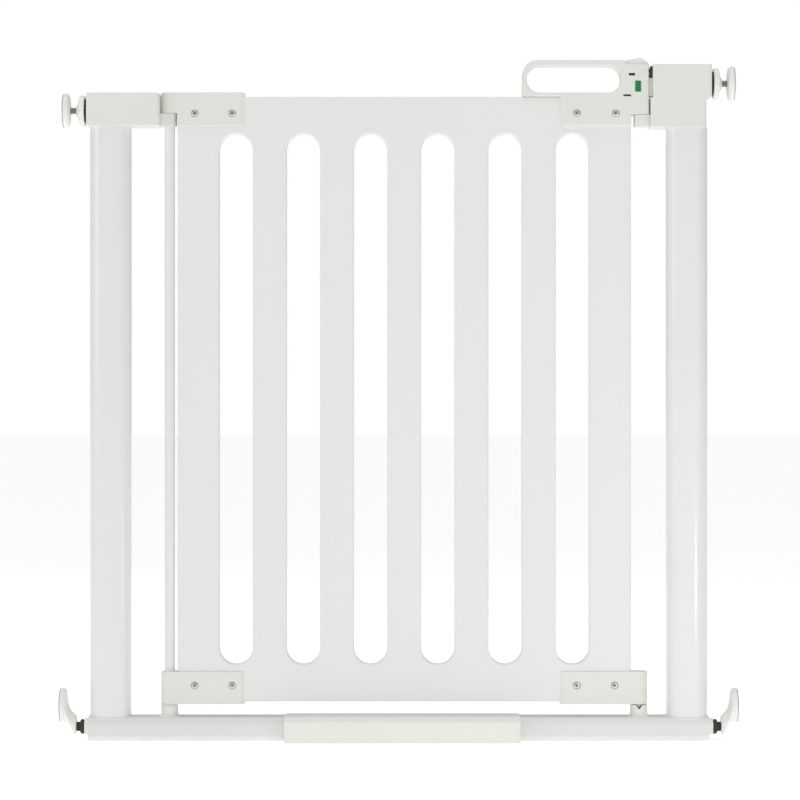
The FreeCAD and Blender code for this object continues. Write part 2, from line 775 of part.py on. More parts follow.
def make_lower_hinge_bracket():
    piece = Piece("lower_hinge_bracket")
    cheeks(piece, d.hinge_bracket_end, d.hinge_across, d.bracket_low, d.bracket_high)
    barrel(piece, d.hinge_across, d.bracket_low, d.bracket_high, d.barrel_radius)
    soften(piece, d.bracket_low, d.bracket_high)
    panel_seat(piece, d.panel_left - d.seat_fit, d.panel_low - d.seat_fit, d.hinge_bracket_end + 5, 200)
    bore = piece.sketch("XY", d.bracket_low)
    circle(bore, d.hinge_across, 0, d.bush_radius + d.running_fit)
    piece.pocket(bore, 100, way=1)
    key_seat = piece.sketch("XY", d.bracket_low)
    reach, side = d.key_reach + 0.1, d.key_width.half + 0.1
    rectangle(key_seat, d.hinge_across - reach, -side, d.hinge_across + reach, side)
    piece.pocket(key_seat, 100, way=1)
    screw_holes(piece, HINGE_SCREWS, d.lower_screw_level)


def make_upper_hinge_bracket():
    piece = Piece("upper_hinge_bracket")
    top = d.hinge_bracket_top
    cheeks(piece, d.hinge_bracket_end, d.panel_left, d.left_post_top, top)
    knuckle_low = d.lip_top + d.moving_gap
    sketch = piece.sketch("XY", knuckle_low)
    depth = d.bracket_depth.half
    rectangle(sketch, d.hinge_across, -depth, d.panel_left + 6, depth)
    piece.pad(sketch, top - knuckle_low)
    barrel(piece, d.hinge_across, knuckle_low, top, d.barrel_radius)
    soften(piece, d.left_post_top, top)
    panel_seat(piece, d.panel_left - d.seat_fit, 600, d.hinge_bracket_end + 5, d.panel_high + d.seat_fit)
    bore = piece.sketch("XY", knuckle_low)
    circle(bore, d.hinge_across, 0, d.bush_radius + d.seat_fit)
    piece.pocket(bore, d.panel_high - knuckle_low + 1, way=1)
    screw_holes(piece, HINGE_SCREWS, d.upper_screw_level)


def make_lower_catch_bracket():
    piece = Piece("lower_catch_bracket")
    cheeks(piece, d.catch_bracket_end, d.catch_across, d.bracket_low, d.bracket_high)
    barrel(piece, d.catch_across, d.bracket_low, d.bracket_high, d.barrel_radius)
    soften(piece, d.bracket_low, d.bracket_high)
    panel_seat(piece, d.catch_bracket_end - 5, d.panel_low - d.seat_fit, d.panel_right + d.seat_fit, 200)
    bore = piece.sketch("XY", d.bracket_low)
    circle(bore, d.catch_across, 0, 3 + d.seat_fit)
    piece.pocket(bore, 20, way=1)
    screw_holes(piece, CATCH_SCREWS, d.lower_screw_level)


def make_catch_tooth():
    """Conical tooth on a stem pressed into the catch bracket."""
    piece = Piece("catch_tooth")
    sketch = piece.sketch("XZ")
    stem_high = d.bracket_low + 18
    outline(
        sketch,
        [
            (0, d.tooth_low),
            (1.2, d.tooth_low),
            (d.tooth_radius, d.bracket_low),
            (3, d.bracket_low),
            (3, stem_high),
            (0, stem_high),
        ],
    )
    piece.revolve(sketch, "V_Axis")
    piece.place(d.catch_across)


def bush_profile(low, high, flange_low=None):
    """Half section of a hinge bush, with a flange at its foot when asked."""
    bore = d.rod_radius + d.running_fit
    profile = [(bore, low), (d.bush_radius, low), (d.bush_radius, high), (bore, high)]
    if flange_low is not None:
        flange = d.barrel_radius - 0.2
        profile[:2] = [(bore, flange_low), (flange, flange_low), (flange, low), (d.bush_radius, low)]
    return profile


def make_upper_hinge_bush():
    piece = Piece("upper_hinge_bush")
    sketch = piece.sketch("XZ")
    outline(sketch, bush_profile(d.lip_top + d.moving_gap * 2, d.panel_high))
    piece.revolve(sketch, "V_Axis")
    piece.place(d.hinge_across)


def make_lower_hinge_bush():
    """Bush that turns on the rod; its keys turn it with the leaf, which can rise on it."""
    piece = Piece("lower_hinge_bush")
    flange_low = d.foot_high + d.moving_gap
    flange_high = d.bracket_low - d.moving_gap
    high = d.bracket_high - d.moving_gap
    sketch = piece.sketch("XZ")
    outline(sketch, bush_profile(flange_high, high, flange_low))
    piece.revolve(sketch, "V_Axis")
    side = d.key_width.half
    for way in (-1, 1):
        sketch = piece.sketch("XY", flange_high)
        rectangle(sketch, (d.bush_radius - 0.6) * way, -side, d.key_reach * way, side)
        piece.pad(sketch, high - flange_high)
    piece.place(d.hinge_across)


def make_screw(label, across, level, rise):
    """Pan head screw, front side, with a cross recess; rise lifts its head for a deeper cheek."""
    piece = Piece(label)
    sketch = piece.sketch("XY")
    seat, crown = -d.head_seat - rise, -d.bracket_depth.half - 0.3 - rise
    profile = [
        (0, crown),
        (d.head_radius - 1.4, crown),
        (d.head_radius, seat - 0.4),
        (d.head_radius, seat),
        (d.screw_radius, seat),
        (d.screw_radius, 5),
        (0, 5),
    ]
    outline(sketch, profile)
    piece.revolve(sketch, "V_Axis")
    sketch = piece.sketch("XZ", -crown)
    arm, side = 1.9, 0.45
    cross = [(side, side), (side, arm), (-side, arm), (-side, side), (-arm, side), (-arm, -side)]
    outline(sketch, cross + [(-across_, -up) for across_, up in cross])
    piece.pocket(sketch, 0.9, way=-1)
    piece.place(across, level)


def make_sleeve_nut(label, across, level, rise):
    """Sleeve nut that the screw runs into, back side."""
    piece = Piece(label)
    sketch = piece.sketch("XY")
    seat, crown = d.head_seat + rise, d.bracket_depth.half + 0.3 + rise
    bore = d.screw_radius + 0.02
    outline(
        sketch,
        [
            (bore, -3),
            (d.sleeve_radius, -3),
            (d.sleeve_radius, seat),
            (d.head_radius, seat),
            (d.head_radius, crown - 0.5),
            (d.head_radius - 0.5, crown),
            (0, crown),
            (0, 7),
            (bore, 7),
        ],
    )
    piece.revolve(sketch, "V_Axis")
    piece.place(across, level)


# ---- handle and latch


def make_latch_shell(label, way):
    """Half of the handle and latch case; way 1 is the front half, -1 the back half."""
    piece = Piece(label)
    middle = (d.finger_low + d.finger_high).half
    finger_radius = (d.finger_high - d.finger_low).half
    outer, inner = d.grip_depth.half * -way, d.panel_thick.half * -way
    sketch = piece.sketch("XZ")
    rectangle(sketch, d.grip_left, d.panel_high, d.finger_right + 6, d.grip_top)
    piece.pad(sketch, d.grip_depth.half, way=way)
    piece.fillet(17, all_of(runs_along("y"), lies_at(x=d.grip_left, z=d.grip_top)))
    piece.fillet(3.5, all_of(runs_along("y"), lies_at(x=d.grip_left, z=d.panel_high)))
    sketch = piece.sketch("XY", d.left_post_top)
    bevel_start = d.case_bracket_left + d.bracket_bevel
    plan = [(d.case_bracket_left, 0), (d.case_bracket_left, inner), (bevel_start, outer)]
    outline(sketch, plan + [(d.panel_right, outer), (d.panel_right, 0)])
    piece.pad(sketch, d.panel_high - d.left_post_top)
    sketch = piece.sketch("XZ")
    rectangle(sketch, d.finger_right + 0.4, d.latch_head_low, d.latch_head_right, d.latch_head_top)
    piece.pad(sketch, d.latch_head_depth.half, way=way)
    sketch = piece.sketch("XZ")
    stadium(
        sketch,
        (d.finger_left + finger_radius, middle),
        (d.finger_right - finger_radius, middle),
        finger_radius,
    )
    piece.pocket(sketch, 60, both=True)
    piece.fillet(1.4, lies_at(y=outer))
    panel_seat(piece, 100, 600, d.panel_right + d.seat_fit, d.panel_high)
    cut_latch_spaces(piece, way)
    screw_holes_half(piece, way)


def cut_latch_spaces(piece, way):
    """Bolt cavity, bolt mouth, neck slot, button channel, vents and window of one half."""
    for left, low, right, high, depth in (
        (d.cavity_left, d.panel_high, d.cavity_right, d.cavity_top, d.cavity_depth),
        (d.cavity_right - 1, d.panel_high, d.latch_head_right + 1, d.bolt_high + 0.4, d.tip_depth + 0.4),
        (d.neck_left - 9, d.cavity_top - 1, d.neck_right + 2, d.latch_head_top + 8, d.neck_depth + 0.6),
        (d.button_left - 9.3, d.latch_head_top - 0.3, d.finger_right + 8, d.grip_top + 3, d.button_depth + 0.8),
    ):
        sketch = piece.sketch("XZ")
        rectangle(sketch, left, low, right, high)
        piece.pocket(sketch, depth, both=True)
    for left, low, right, high in CASE_SLOTS:
        sketch = piece.sketch("XZ")
        rectangle(sketch, left, low, right, high)
        piece.pocket(sketch, 60, both=True)
    sketch = piece.sketch("XZ")
    rounded(sketch, d.window_left, d.window_low, d.window_right, d.window_high, d.window_round)
    piece.pocket(sketch, 60, both=True)


def screw_holes_half(piece, way):
    """Screw holes and one counterbore in one half of the latch case."""
    sketch = piece.sketch("XZ")
    for across in LATCH_SCREWS:
        circle(sketch, across, d.upper_screw_level, d.sleeve_radius + 0.1)
    piece.pocket(sketch, 60, both=True)
    seat = d.head_seat + d.latch_head_depth.half - d.bracket_depth.half
    sketch = piece.sketch("XZ", seat * way)
    for across in LATCH_SCREWS:
        circle(sketch, across, d.upper_screw_level, d.head_radius + 0.3)
    piece.pocket(sketch, 8, way=way)


def make_window(label, way):
    """Clear window over the indicator; way 1 is the front one."""
    piece = Piece(label)
    fit = d.seat_fit
    sketch = piece.sketch("XZ", (d.latch_head_depth.half - 0.2 - d.window_thick) * way)
    rounded(
        sketch,
        d.window_left + fit,
        d.window_low + fit,
        d.window_right - fit,
        d.window_high - fit,
        d.window_round - fit,
    )
    piece.pad(sketch, d.window_thick, way=way)


def make_latch_bolt():
    """Sliding bolt with the neck that carries the thumb button and a pocket for its spring."""
    piece = Piece("latch_bolt")
    sketch = piece.sketch("XZ")
    rectangle(sketch, d.bolt_left, d.bolt_low, d.bolt_right, d.bolt_high)
    piece.pad(sketch, d.bolt_depth, both=True)
    sketch = piece.sketch("XZ")
    rectangle(sketch, d.tip_left, d.bolt_low, d.bolt_right, d.bolt_high)
    piece.pad(sketch, d.tip_depth, both=True)
    piece.fillet(1.5, lies_at(x=d.bolt_right))
    sketch = piece.sketch("XZ")
    rectangle(sketch, d.neck_left + 1, d.bolt_high - 1, d.neck_right, d.latch_head_top + d.moving_gap)
    piece.pad(sketch, d.neck_depth, both=True)
    sketch = piece.sketch("YZ", d.bolt_left)
    circle(sketch, 0, (d.bolt_low + d.bolt_high).half, d.spring_radius + 0.6)
    piece.pocket(sketch, d.spring_end + 0.3 - d.bolt_left, way=1)


def make_thumb_button():
    """Ridged thumb slide on top of the latch head."""
    piece = Piece("thumb_button")
    low = d.latch_head_top + d.moving_gap
    sketch = piece.sketch("XZ")
    left, right = d.button_left, d.latch_head_right - 0.8
    outline(
        sketch,
        [
            (left, low),
            (right, low),
            (right, low + 1.2),
            (right - 6, low + 6),
            (right - 9.8, low + 7.2),
            (right - 17, low + 6.1),
            (left + 5, low + 4.4),
            (left, low + 2.2),
        ],
    )
    piece.pad(sketch, d.button_depth, both=True)
    front_and_back = any_of(lies_at(y=d.button_depth.half), lies_at(y=-d.button_depth.half))
    piece.fillet(0.8, all_of(front_and_back, lambda edge: edge.BoundBox.ZMin > low.value + 0.5))


def make_indicator(label, way):
    """Green plate on the side of the bolt that shows through a window; way 1 is the front one."""
    piece = Piece(label)
    sketch = piece.sketch("XZ", d.bolt_depth.half * way)
    rectangle(sketch, d.window_left - 1, d.window_low - 2, d.window_right + 0.8, d.window_high + 1.5)
    piece.pad(sketch, (d.cavity_depth - d.bolt_depth).half - 0.5, way=way)


def make_latch_spring():
    """Spring that drives the bolt out, as the sleeve that its coils fill."""
    piece = Piece("latch_spring")
    sketch = piece.sketch("XZ")
    left, right = d.cavity_left + 0.1, d.spring_end
    rectangle(sketch, left, d.spring_radius - 0.9, right, d.spring_radius)
    piece.revolve(sketch, "H_Axis")
    piece.place(0, (d.bolt_low + d.bolt_high).half)


# ---- pressure spindles, drawn with their axis on X and pointing outwards to the right


def make_wheel(label, side, face, level):
    """Hand wheel: washer face to the frame, fluted rim, cone to the hub."""
    piece = Piece(label)
    start = face + d.moving_gap
    rim = start + d.washer_thick
    end = rim + d.wheel_thick
    bore = d.spindle_radius + d.running_fit
    sketch = piece.sketch("XZ")
    outline(
        sketch,
        [
            (start, bore),
            (start, d.washer_radius),
            (rim, d.washer_radius),
            (rim, d.wheel_radius - 1),
            (rim + 1, d.wheel_radius),
            (rim + 5.4, d.wheel_radius),
            (rim + 6.4, d.wheel_radius - 1),
            (rim + 6.8, d.wheel_radius - 6),
            (rim + 8.3, d.wheel_radius - 9.7),
            (end, d.wheel_hub),
            (end, bore),
        ],
    )
    piece.revolve(sketch)
    sketch = piece.sketch("YZ", rim + 1.6)
    circle(sketch, 0, d.wheel_radius + 1.2, d.flute_radius)
    flute = piece.pocket(sketch, d.wheel_thick, way=1)
    piece.around(flute, d.flute_count)
    piece.place(0, level, TURN_HALF if side < 0 else None)


def make_spindle(label, side, end, level):
    """Threaded spindle at its major diameter."""
    rod = doc.addObject("Part::Cylinder", label)
    rod.Label = label
    rod.setExpression("Radius", d.spindle_radius.text)
    rod.setExpression("Height", d.spindle_length.text)
    rod.Placement = FreeCAD.Placement(V(0, 0, 0), FreeCAD.Rotation(V(0, 1, 0), 90))
    outer = end - d.spindle_length if side > 0 else -end
    rod.setExpression("Placement.Base.x", outer.text)
    rod.setExpression("Placement.Base.z", level.text)
    Piece.made.append(rod)


def pad_profile(back, seat, radius):
    """Half section of a wall pad's cup, round at its rim."""
    return [
        (back + 0.6, radius - 8.6),
        (back + 1, radius - 4.6),
        (back + 1.8, radius - 1.7),
        (back + 3, radius - 0.4),
        (back + 4.2, radius),
        (seat - 0.6, radius),
        (seat, radius - 0.6),
    ]


def make_wall_pad(label, side, level):
    piece = Piece(label)
    sketch = piece.sketch("XZ")
    back, seat = d.pad_back, d.pad_seat
    profile = [(back, d.spindle_radius), (back, d.spindle_radius + 1.6)]
    profile += pad_profile(back, seat, d.pad_radius)
    profile += [(seat, 0), (back + 6, 0), (back + 6, d.spindle_radius)]
    outline(sketch, profile)
    piece.revolve(sketch)
    piece.place(0, level, TURN_HALF if side < 0 else None)


def make_rubber(label, side, level, seat, face):
    """Rubber disc on the face of a wall pad."""
    piece = Piece(label)
    sketch = piece.sketch("XZ")
    radius = d.pad_radius - 0.7
    outline(sketch, [(seat, 0), (seat, radius), (face - 0.5, radius), (face, radius - 0.5), (face, 0)])
    piece.revolve(sketch)
    piece.place(0, level, TURN_HALF if side < 0 else None)


def make_nut(label, side):
    """Six-sided lock nut of a bottom spindle, with a round hub."""
    piece = Piece(label)
    corner = d.nut_radius
    flat, slant = corner * 0.8660254, corner.half
    sketch = piece.sketch("YZ", d.nut_reach)
    half = [(0, corner), (flat, slant), (flat, -slant)]
    outline(sketch, half + [(-across, -up) for across, up in half])
    piece.pad(sketch, d.nut_thick)
    sketch = piece.sketch("YZ", d.nut_reach)
    circle(sketch, 0, 0, d.nut_hub_radius)
    piece.pad(sketch, d.nut_hub_end - d.nut_reach)
    sketch = piece.sketch("YZ", d.nut_reach)
    circle(sketch, 0, 0, d.spindle_radius + d.running_fit)
    piece.pocket(sketch, d.nut_hub_end - d.nut_reach + 2, way=1)
    piece.place(0, d.bottom_level, TURN_HALF if side < 0 else None)


def make_offset_foot(label, side):
    """Foot of a bottom spindle: a socket low down, and a pad raised clear of the floor."""
    piece = Piece(label)
    back, seat, rise = d.socket_back, d.foot_seat, d.foot_offset
    sketch = piece.sketch("XZ")
    outline(
        sketch,
        [
            (back, -7),
            (back + 2.5, -9.4),
            (back + 4, -8.6),
            (back + 6.3, -3.7),
            (back + 8, 2.2),
            (back + 9.6, 6),
            (seat - 2, 7),
            (seat - 2, rise + 6),
            (back + 12, rise + 6),
            (back + 10.6, rise - 1),
            (back + 7.1, 19),
            (back + 3.3, 15.7),
            (back, 12.3),
        ],
    )
    piece.pad(sketch, d.socket_radius * 2, both=True)
    piece.fillet(2, runs_along("x"))
    sketch = piece.sketch("XY", rise)
    outline(sketch, [(seat - 7.1, 0)] + pad_profile(seat - 8, seat, d.pad_radius) + [(seat, 0)])
    piece.revolve(sketch)
    sketch = piece.sketch("YZ", back)
    circle(sketch, 0, 0, d.spindle_radius)
    piece.pocket(sketch, d.socket_depth, way=1)
    piece.place(0, d.bottom_level, TURN_HALF if side < 0 else None)


# ---- the whole gate

make_base_bar()
for name, side in (("left", -1), ("right", 1)):
    make_collar(f"base_collar_{name}", side)
make_post("left_post", -1, d.left_post_top)
make_post("right_post", 1, d.right_post_top)
make_ramp()
make_hinge_housing()
make_latch_housing()
make_strike_liner()
make_hinge_rod()
make_hinge_foot()
make_catch_cup()

make_leaf_panel()
make_lower_hinge_bracket()
make_upper_hinge_bracket()
make_lower_catch_bracket()
make_catch_tooth()
make_upper_hinge_bush()
make_lower_hinge_bush()
for number, (across, level) in enumerate(screw_places(), 1):
    in_latch_case = level is d.upper_screw_level and across in LATCH_SCREWS
    rise = d.latch_head_depth.half - d.bracket_depth.half if in_latch_case else Size.of(0)
    make_screw(f"bracket_screw_{number}", across, level, rise)
    make_sleeve_nut(f"sleeve_nut_{number}", across, level, rise)

make_latch_shell("latch_case_front", 1)
make_latch_shell("latch_case_back", -1)
make_window("window_front", 1)
make_window("window_back", -1)
make_latch_bolt()
make_thumb_button()
make_indicator("indicator_front", 1)
make_indicator("indicator_back", -1)
make_latch_spring()

TOPS = (("left", -1, -d.hinge_case_left, d.left_top_level), ("right", 1, d.shoulder_right, d.right_top_level))
for name, side, face, level in TOPS:
    make_wheel(f"top_{name}_wheel", side, face, level)
    make_spindle(f"top_{name}_spindle", side, d.pad_back + 6, level)
    make_wall_pad(f"top_{name}_pad", side, level)
    make_rubber(f"top_{name}_rubber", side, level, d.pad_seat, d.pad_face)
for name, side in (("left", -1), ("right", 1)):
    make_nut(f"bottom_{name}_nut", side)
    make_spindle(f"bottom_{name}_spindle", side, d.socket_back + d.socket_depth, d.bottom_level)
    make_offset_foot(f"bottom_{name}_foot", side)
    make_rubber(f"bottom_{name}_rubber", side, d.bottom_level + d.foot_offset, d.foot_seat, d.foot_face)

doc.recompute()
os.makedirs("parts", exist_ok=True)
for item in doc.Objects:
    if "Invalid" in item.State or "Error" in item.State:
        raise ValueError(f"{item.Label} failed: {item.State}")
for item in Piece.made:
    if item.Shape.isNull() or not item.Shape.isValid() or len(item.Shape.Solids) != 1:
        raise ValueError(f"{item.Label} has no single valid solid")
for item in Piece.made:
    item.Shape.exportStep(f"parts/{item.Label}.step")
    box = item.Shape.BoundBox
    print(f"{item.Label}: x {box.XMin:.1f}..{box.XMax:.1f} y {box.YMin:.1f}..{box.YMax:.1f} z {box.ZMin:.1f}..{box.ZMax:.1f}")
print(f"{len(Piece.made)} sub-parts written")
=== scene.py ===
import logging
import math
from dataclasses import dataclass, field
from enum import Enum
from typing import Callable, Optional, Sequence, Union

import bmesh
import bpy
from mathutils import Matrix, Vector


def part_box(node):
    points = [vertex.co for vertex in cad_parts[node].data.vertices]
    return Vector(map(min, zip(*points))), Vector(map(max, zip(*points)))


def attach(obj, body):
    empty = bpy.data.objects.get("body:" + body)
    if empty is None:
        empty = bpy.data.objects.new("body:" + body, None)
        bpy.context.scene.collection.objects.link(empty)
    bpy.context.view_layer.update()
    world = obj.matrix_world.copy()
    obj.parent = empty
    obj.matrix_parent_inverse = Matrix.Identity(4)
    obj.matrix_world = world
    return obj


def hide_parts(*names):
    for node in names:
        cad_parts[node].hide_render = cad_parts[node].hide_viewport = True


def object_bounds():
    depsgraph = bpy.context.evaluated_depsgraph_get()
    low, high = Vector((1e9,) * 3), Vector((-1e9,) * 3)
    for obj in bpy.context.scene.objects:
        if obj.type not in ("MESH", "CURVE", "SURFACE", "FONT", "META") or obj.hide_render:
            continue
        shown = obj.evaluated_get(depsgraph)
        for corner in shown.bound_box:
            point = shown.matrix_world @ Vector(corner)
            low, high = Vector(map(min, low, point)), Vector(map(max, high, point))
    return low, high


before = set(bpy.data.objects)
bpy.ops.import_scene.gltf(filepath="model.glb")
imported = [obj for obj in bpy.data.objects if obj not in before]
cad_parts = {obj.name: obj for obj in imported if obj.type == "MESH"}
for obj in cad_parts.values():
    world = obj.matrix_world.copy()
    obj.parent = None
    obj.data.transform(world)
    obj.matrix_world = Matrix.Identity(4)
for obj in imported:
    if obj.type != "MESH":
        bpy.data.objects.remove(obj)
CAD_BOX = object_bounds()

LOG = logging.getLogger("safety_gate")
MM = 0.001
Colour = tuple[float, float, float, float]
Term = Union["Value", float, int]

# Socket numbers of a Mix node that works on colours.
MIX_SHARE, MIX_FIRST, MIX_SECOND, MIX_RESULT = 0, 6, 7, 2
WHITE: Colour = (1.0, 1.0, 1.0, 1.0)
UP = Vector((0, 0, 1))


def shade(red: int, green: int, blue: int) -> Colour:
    """Turn a colour as it looks in plain light into the linear colour that a shader wants.

    Args:
        red: Red part, 0 to 255.
        green: Green part, 0 to 255.
        blue: Blue part, 0 to 255.

    Returns:
        The linear colour with full alpha.
    """
    knee, slope, lift, power = 0.04045, 12.92, 0.055, 2.4
    parts = [part / 255 for part in (red, green, blue)]
    linear = [part / slope if part <= knee else ((part + lift) / (1 + lift)) ** power for part in parts]
    return (linear[0], linear[1], linear[2], 1.0)


def deeper(colour: Colour, share: float) -> Colour:
    """Return the same colour with its light multiplied by a share."""
    return (colour[0] * share, colour[1] * share, colour[2] * share, 1.0)


# ---- shader writing


class Value:
    """A shader socket that Python arithmetic turns into Math nodes."""

    def __init__(self, net: "Net", socket: bpy.types.NodeSocket) -> None:
        """Keep the socket and the net that it belongs to."""
        self.net = net
        self.socket = socket

    def _maths(self, operation: str, *terms: Term) -> "Value":
        """Add one Math node that works on the terms in order, and return its result."""
        return self.net.add("ShaderNodeMath", {"operation": operation}, dict(enumerate(terms)))

    def __add__(self, other: Term) -> "Value":
        """Add a number or another value."""
        return self._maths("ADD", self, other)

    def __radd__(self, other: Term) -> "Value":
        """Add to a number on the left."""
        return self._maths("ADD", other, self)

    def __sub__(self, other: Term) -> "Value":
        """Take away a number or another value."""
        return self._maths("SUBTRACT", self, other)

    def __rsub__(self, other: Term) -> "Value":
        """Take this value away from a number on the left."""
        return self._maths("SUBTRACT", other, self)

    def __mul__(self, other: Term) -> "Value":
        """Multiply by a number or another value."""
        return self._maths("MULTIPLY", self, other)

    def __rmul__(self, other: Term) -> "Value":
        """Multiply a number on the left."""
        return self._maths("MULTIPLY", other, self)

    def __abs__(self) -> "Value":
        """Drop the sign."""
        return self._maths("ABSOLUTE", self)

    def least(self, other: Term) -> "Value":
        """Return the smaller of this value and another."""
        return self._maths("MINIMUM", self, other)

    def eased(self, start: float, end: float) -> "Value":
        """Rise smoothly from 0 to 1 between two values.

        Args:
            start: Where the result leaves 0.
            end: Where it reaches 1; it may be below start.

        Returns:
            The smooth step, kept between 0 and 1.
        """
        settings = {"interpolation_type": "SMOOTHSTEP", "clamp": True}
        sockets = {"Value": self, "From Min": start, "From Max": end}
        return self.net.add("ShaderNodeMapRange", settings, sockets)


class Net:
    """A net of shader nodes with one shader at its end."""

    def __init__(self, owner: Union[bpy.types.Material, bpy.types.World], shader: str, output: str) -> None:
        """Clear the owner's nodes and set the shader up.

        Args:
            owner: The material or world that holds the net.
            shader: The shader's node type.
            output: The output's node type.
        """
        owner.use_nodes = True
        self.tree = owner.node_tree
        self.tree.nodes.clear()
        self.shader = self.tree.nodes.new(shader)
        end = self.tree.nodes.new(output)
        self.tree.links.new(self.shader.outputs[0], end.inputs["Surface"])

    def add(
        self,
        kind: str,
        settings: Optional[dict] = None,
        sockets: Optional[dict] = None,
        output: Union[int, str] = 0,
    ) -> Value:
        """Add any node.

        Args:
            kind: The node's type.
            settings: The node's own settings, set before its sockets.
            sockets: Values or links of its sockets, by name or number.
            output: The output to hand back.

        Returns:
            The chosen output.
        """
        node = self.tree.nodes.new(kind)
        for name, setting in (settings or {}).items():
            setattr(node, name, setting)
        for key, value in (sockets or {}).items():
            self.feed(node.inputs[key], value)
        return Value(self, node.outputs[output])

    def feed(self, socket: bpy.types.NodeSocket, value: object) -> None:
        """Link a value to a socket, or set the socket's own number or colour.

        Args:
            socket: The socket to feed.
            value: A value to link, or a number or colour to set.
        """
        if isinstance(value, Value):
            self.tree.links.new(value.socket, socket)
        else:
            socket.default_value = value

    def set(self, **sockets: object) -> None:
        """Feed the surface shader's sockets, named with underscores for spaces."""
        for name, value in sockets.items():
            self.feed(self.shader.inputs[name.replace("_", " ")], value)

    def split(self, vector: Value) -> tuple[Value, Value, Value]:
        """Return a vector's X, Y and Z parts."""
        node = self.add("ShaderNodeSeparateXYZ", {}, {0: vector}).socket.node
        return tuple(Value(self, node.outputs[part]) for part in range(3))

    def blend(self, share: Term, first: Union[Value, Colour], second: Union[Value, Colour]) -> Value:
        """Return the first colour where the share is 0, the second where it is 1, and a blend between."""
        sockets = {MIX_SHARE: share, MIX_FIRST: first, MIX_SECOND: second}
        return self.add("ShaderNodeMix", {"data_type": "RGBA"}, sockets, MIX_RESULT)


class Skin(Net):
    """The net of one finish, with its surface shader."""

    def __init__(self, name: str) -> None:
        """Make the material and its shader.

        Args:
            name: The material's name.
        """
        self.material = bpy.data.materials.new(name)
        super().__init__(self.material, "ShaderNodeBsdfPrincipled", "ShaderNodeOutputMaterial")
        self.place = self.add("ShaderNodeTexCoord", output="Object")
        self.facing = self.add("ShaderNodeTexCoord", output="Normal")

    def stretched(self, across: float, deep: float, up: float) -> Value:
        """Return the place on the piece, scaled along X, Y and Z."""
        settings = {"operation": "MULTIPLY"}
        return self.add("ShaderNodeVectorMath", settings, {0: self.place, 1: (across, deep, up)})

    def noise(
        self,
        grain: float,
        detail: float = 2.0,
        place: Optional[Value] = None,
        blend: float = 0.5,
    ) -> Value:
        """Return noise around one half, with so many grains in a metre and octaves of finer detail."""
        sockets = {"Vector": place or self.place, "Scale": grain, "Detail": detail, "Roughness": blend}
        return self.add("ShaderNodeTexNoise", {}, sockets)

    def cells(self, grain: float) -> Value:
        """Return the distance to the middle of scattered cells, with so many cells in a metre."""
        return self.add("ShaderNodeTexVoronoi", {}, {"Vector": self.place, "Scale": grain})

    def relief(self, layers: Sequence[tuple[Value, float]]) -> Value:
        """Lay bumps over each other.

        Args:
            layers: Each layer's height pattern and its depth in metres.

        Returns:
            The bent normal.
        """
        normal = None
        for height, depth in layers:
            sockets = {"Height": height, "Distance": depth, "Strength": 1.0}
            if normal is not None:
                sockets["Normal"] = normal
            normal = self.add("ShaderNodeBump", {}, sockets)
        return normal

    def corners(self, reach: float) -> Value:
        """Return 1 on open faces, falling towards 0 within reach of the piece's own inner corners."""
        settings = {"only_local": True, "samples": 4}
        return self.add("ShaderNodeAmbientOcclusion", settings, {"Distance": reach}, output="AO")


# ---- finishes


@dataclass(frozen=True)
class PowderCoat:
    """Satin powder coat baked on steel tube, with its orange peel and a little floor dust."""

    name: str
    tint: Colour
    mottle: tuple[float, float] = (0.965, 1.02)
    fleck_share: float = 0.10
    dust: Colour = shade(196, 190, 178)
    dust_share: float = 0.12
    dust_top: float = 30 * MM
    roughness: float = 0.34
    peel_grain: float = 620.0
    peel_depth: float = 0.07 * MM
    grit_grain: float = 3600.0
    grit_depth: float = 0.012 * MM

    def make(self) -> bpy.types.Material:
        """Build the finish.

        Returns:
            The material.
        """
        net = Skin(self.name)
        _, _, up = net.split(net.place)
        broad = net.noise(7.0, 3.0)
        dark, light = (deeper(self.tint, share) for share in self.mottle)
        coat = net.blend((broad - 0.5) * 0.9 + 0.5, dark, light)
        fleck = net.cells(900.0).eased(0.10, 0.02)
        coat = net.blend(fleck * self.fleck_share, coat, deeper(self.tint, 0.55))
        near_floor = up.eased(self.dust_top, 2 * MM) * net.noise(140.0, 4.0).eased(0.35, 0.75)
        coat = net.blend(near_floor * self.dust_share, coat, self.dust)
        peel = net.noise(self.peel_grain, 1.5)
        grit = net.noise(self.grit_grain, 1.0)
        net.set(
            Base_Color=coat,
            Roughness=self.roughness + (peel - 0.5) * 0.10 + near_floor * 0.2,
            Normal=net.relief([(peel, self.peel_depth), (grit, self.grit_depth)]),
            Coat_Weight=0.50,
            Coat_Roughness=0.14,
        )
        return net.material


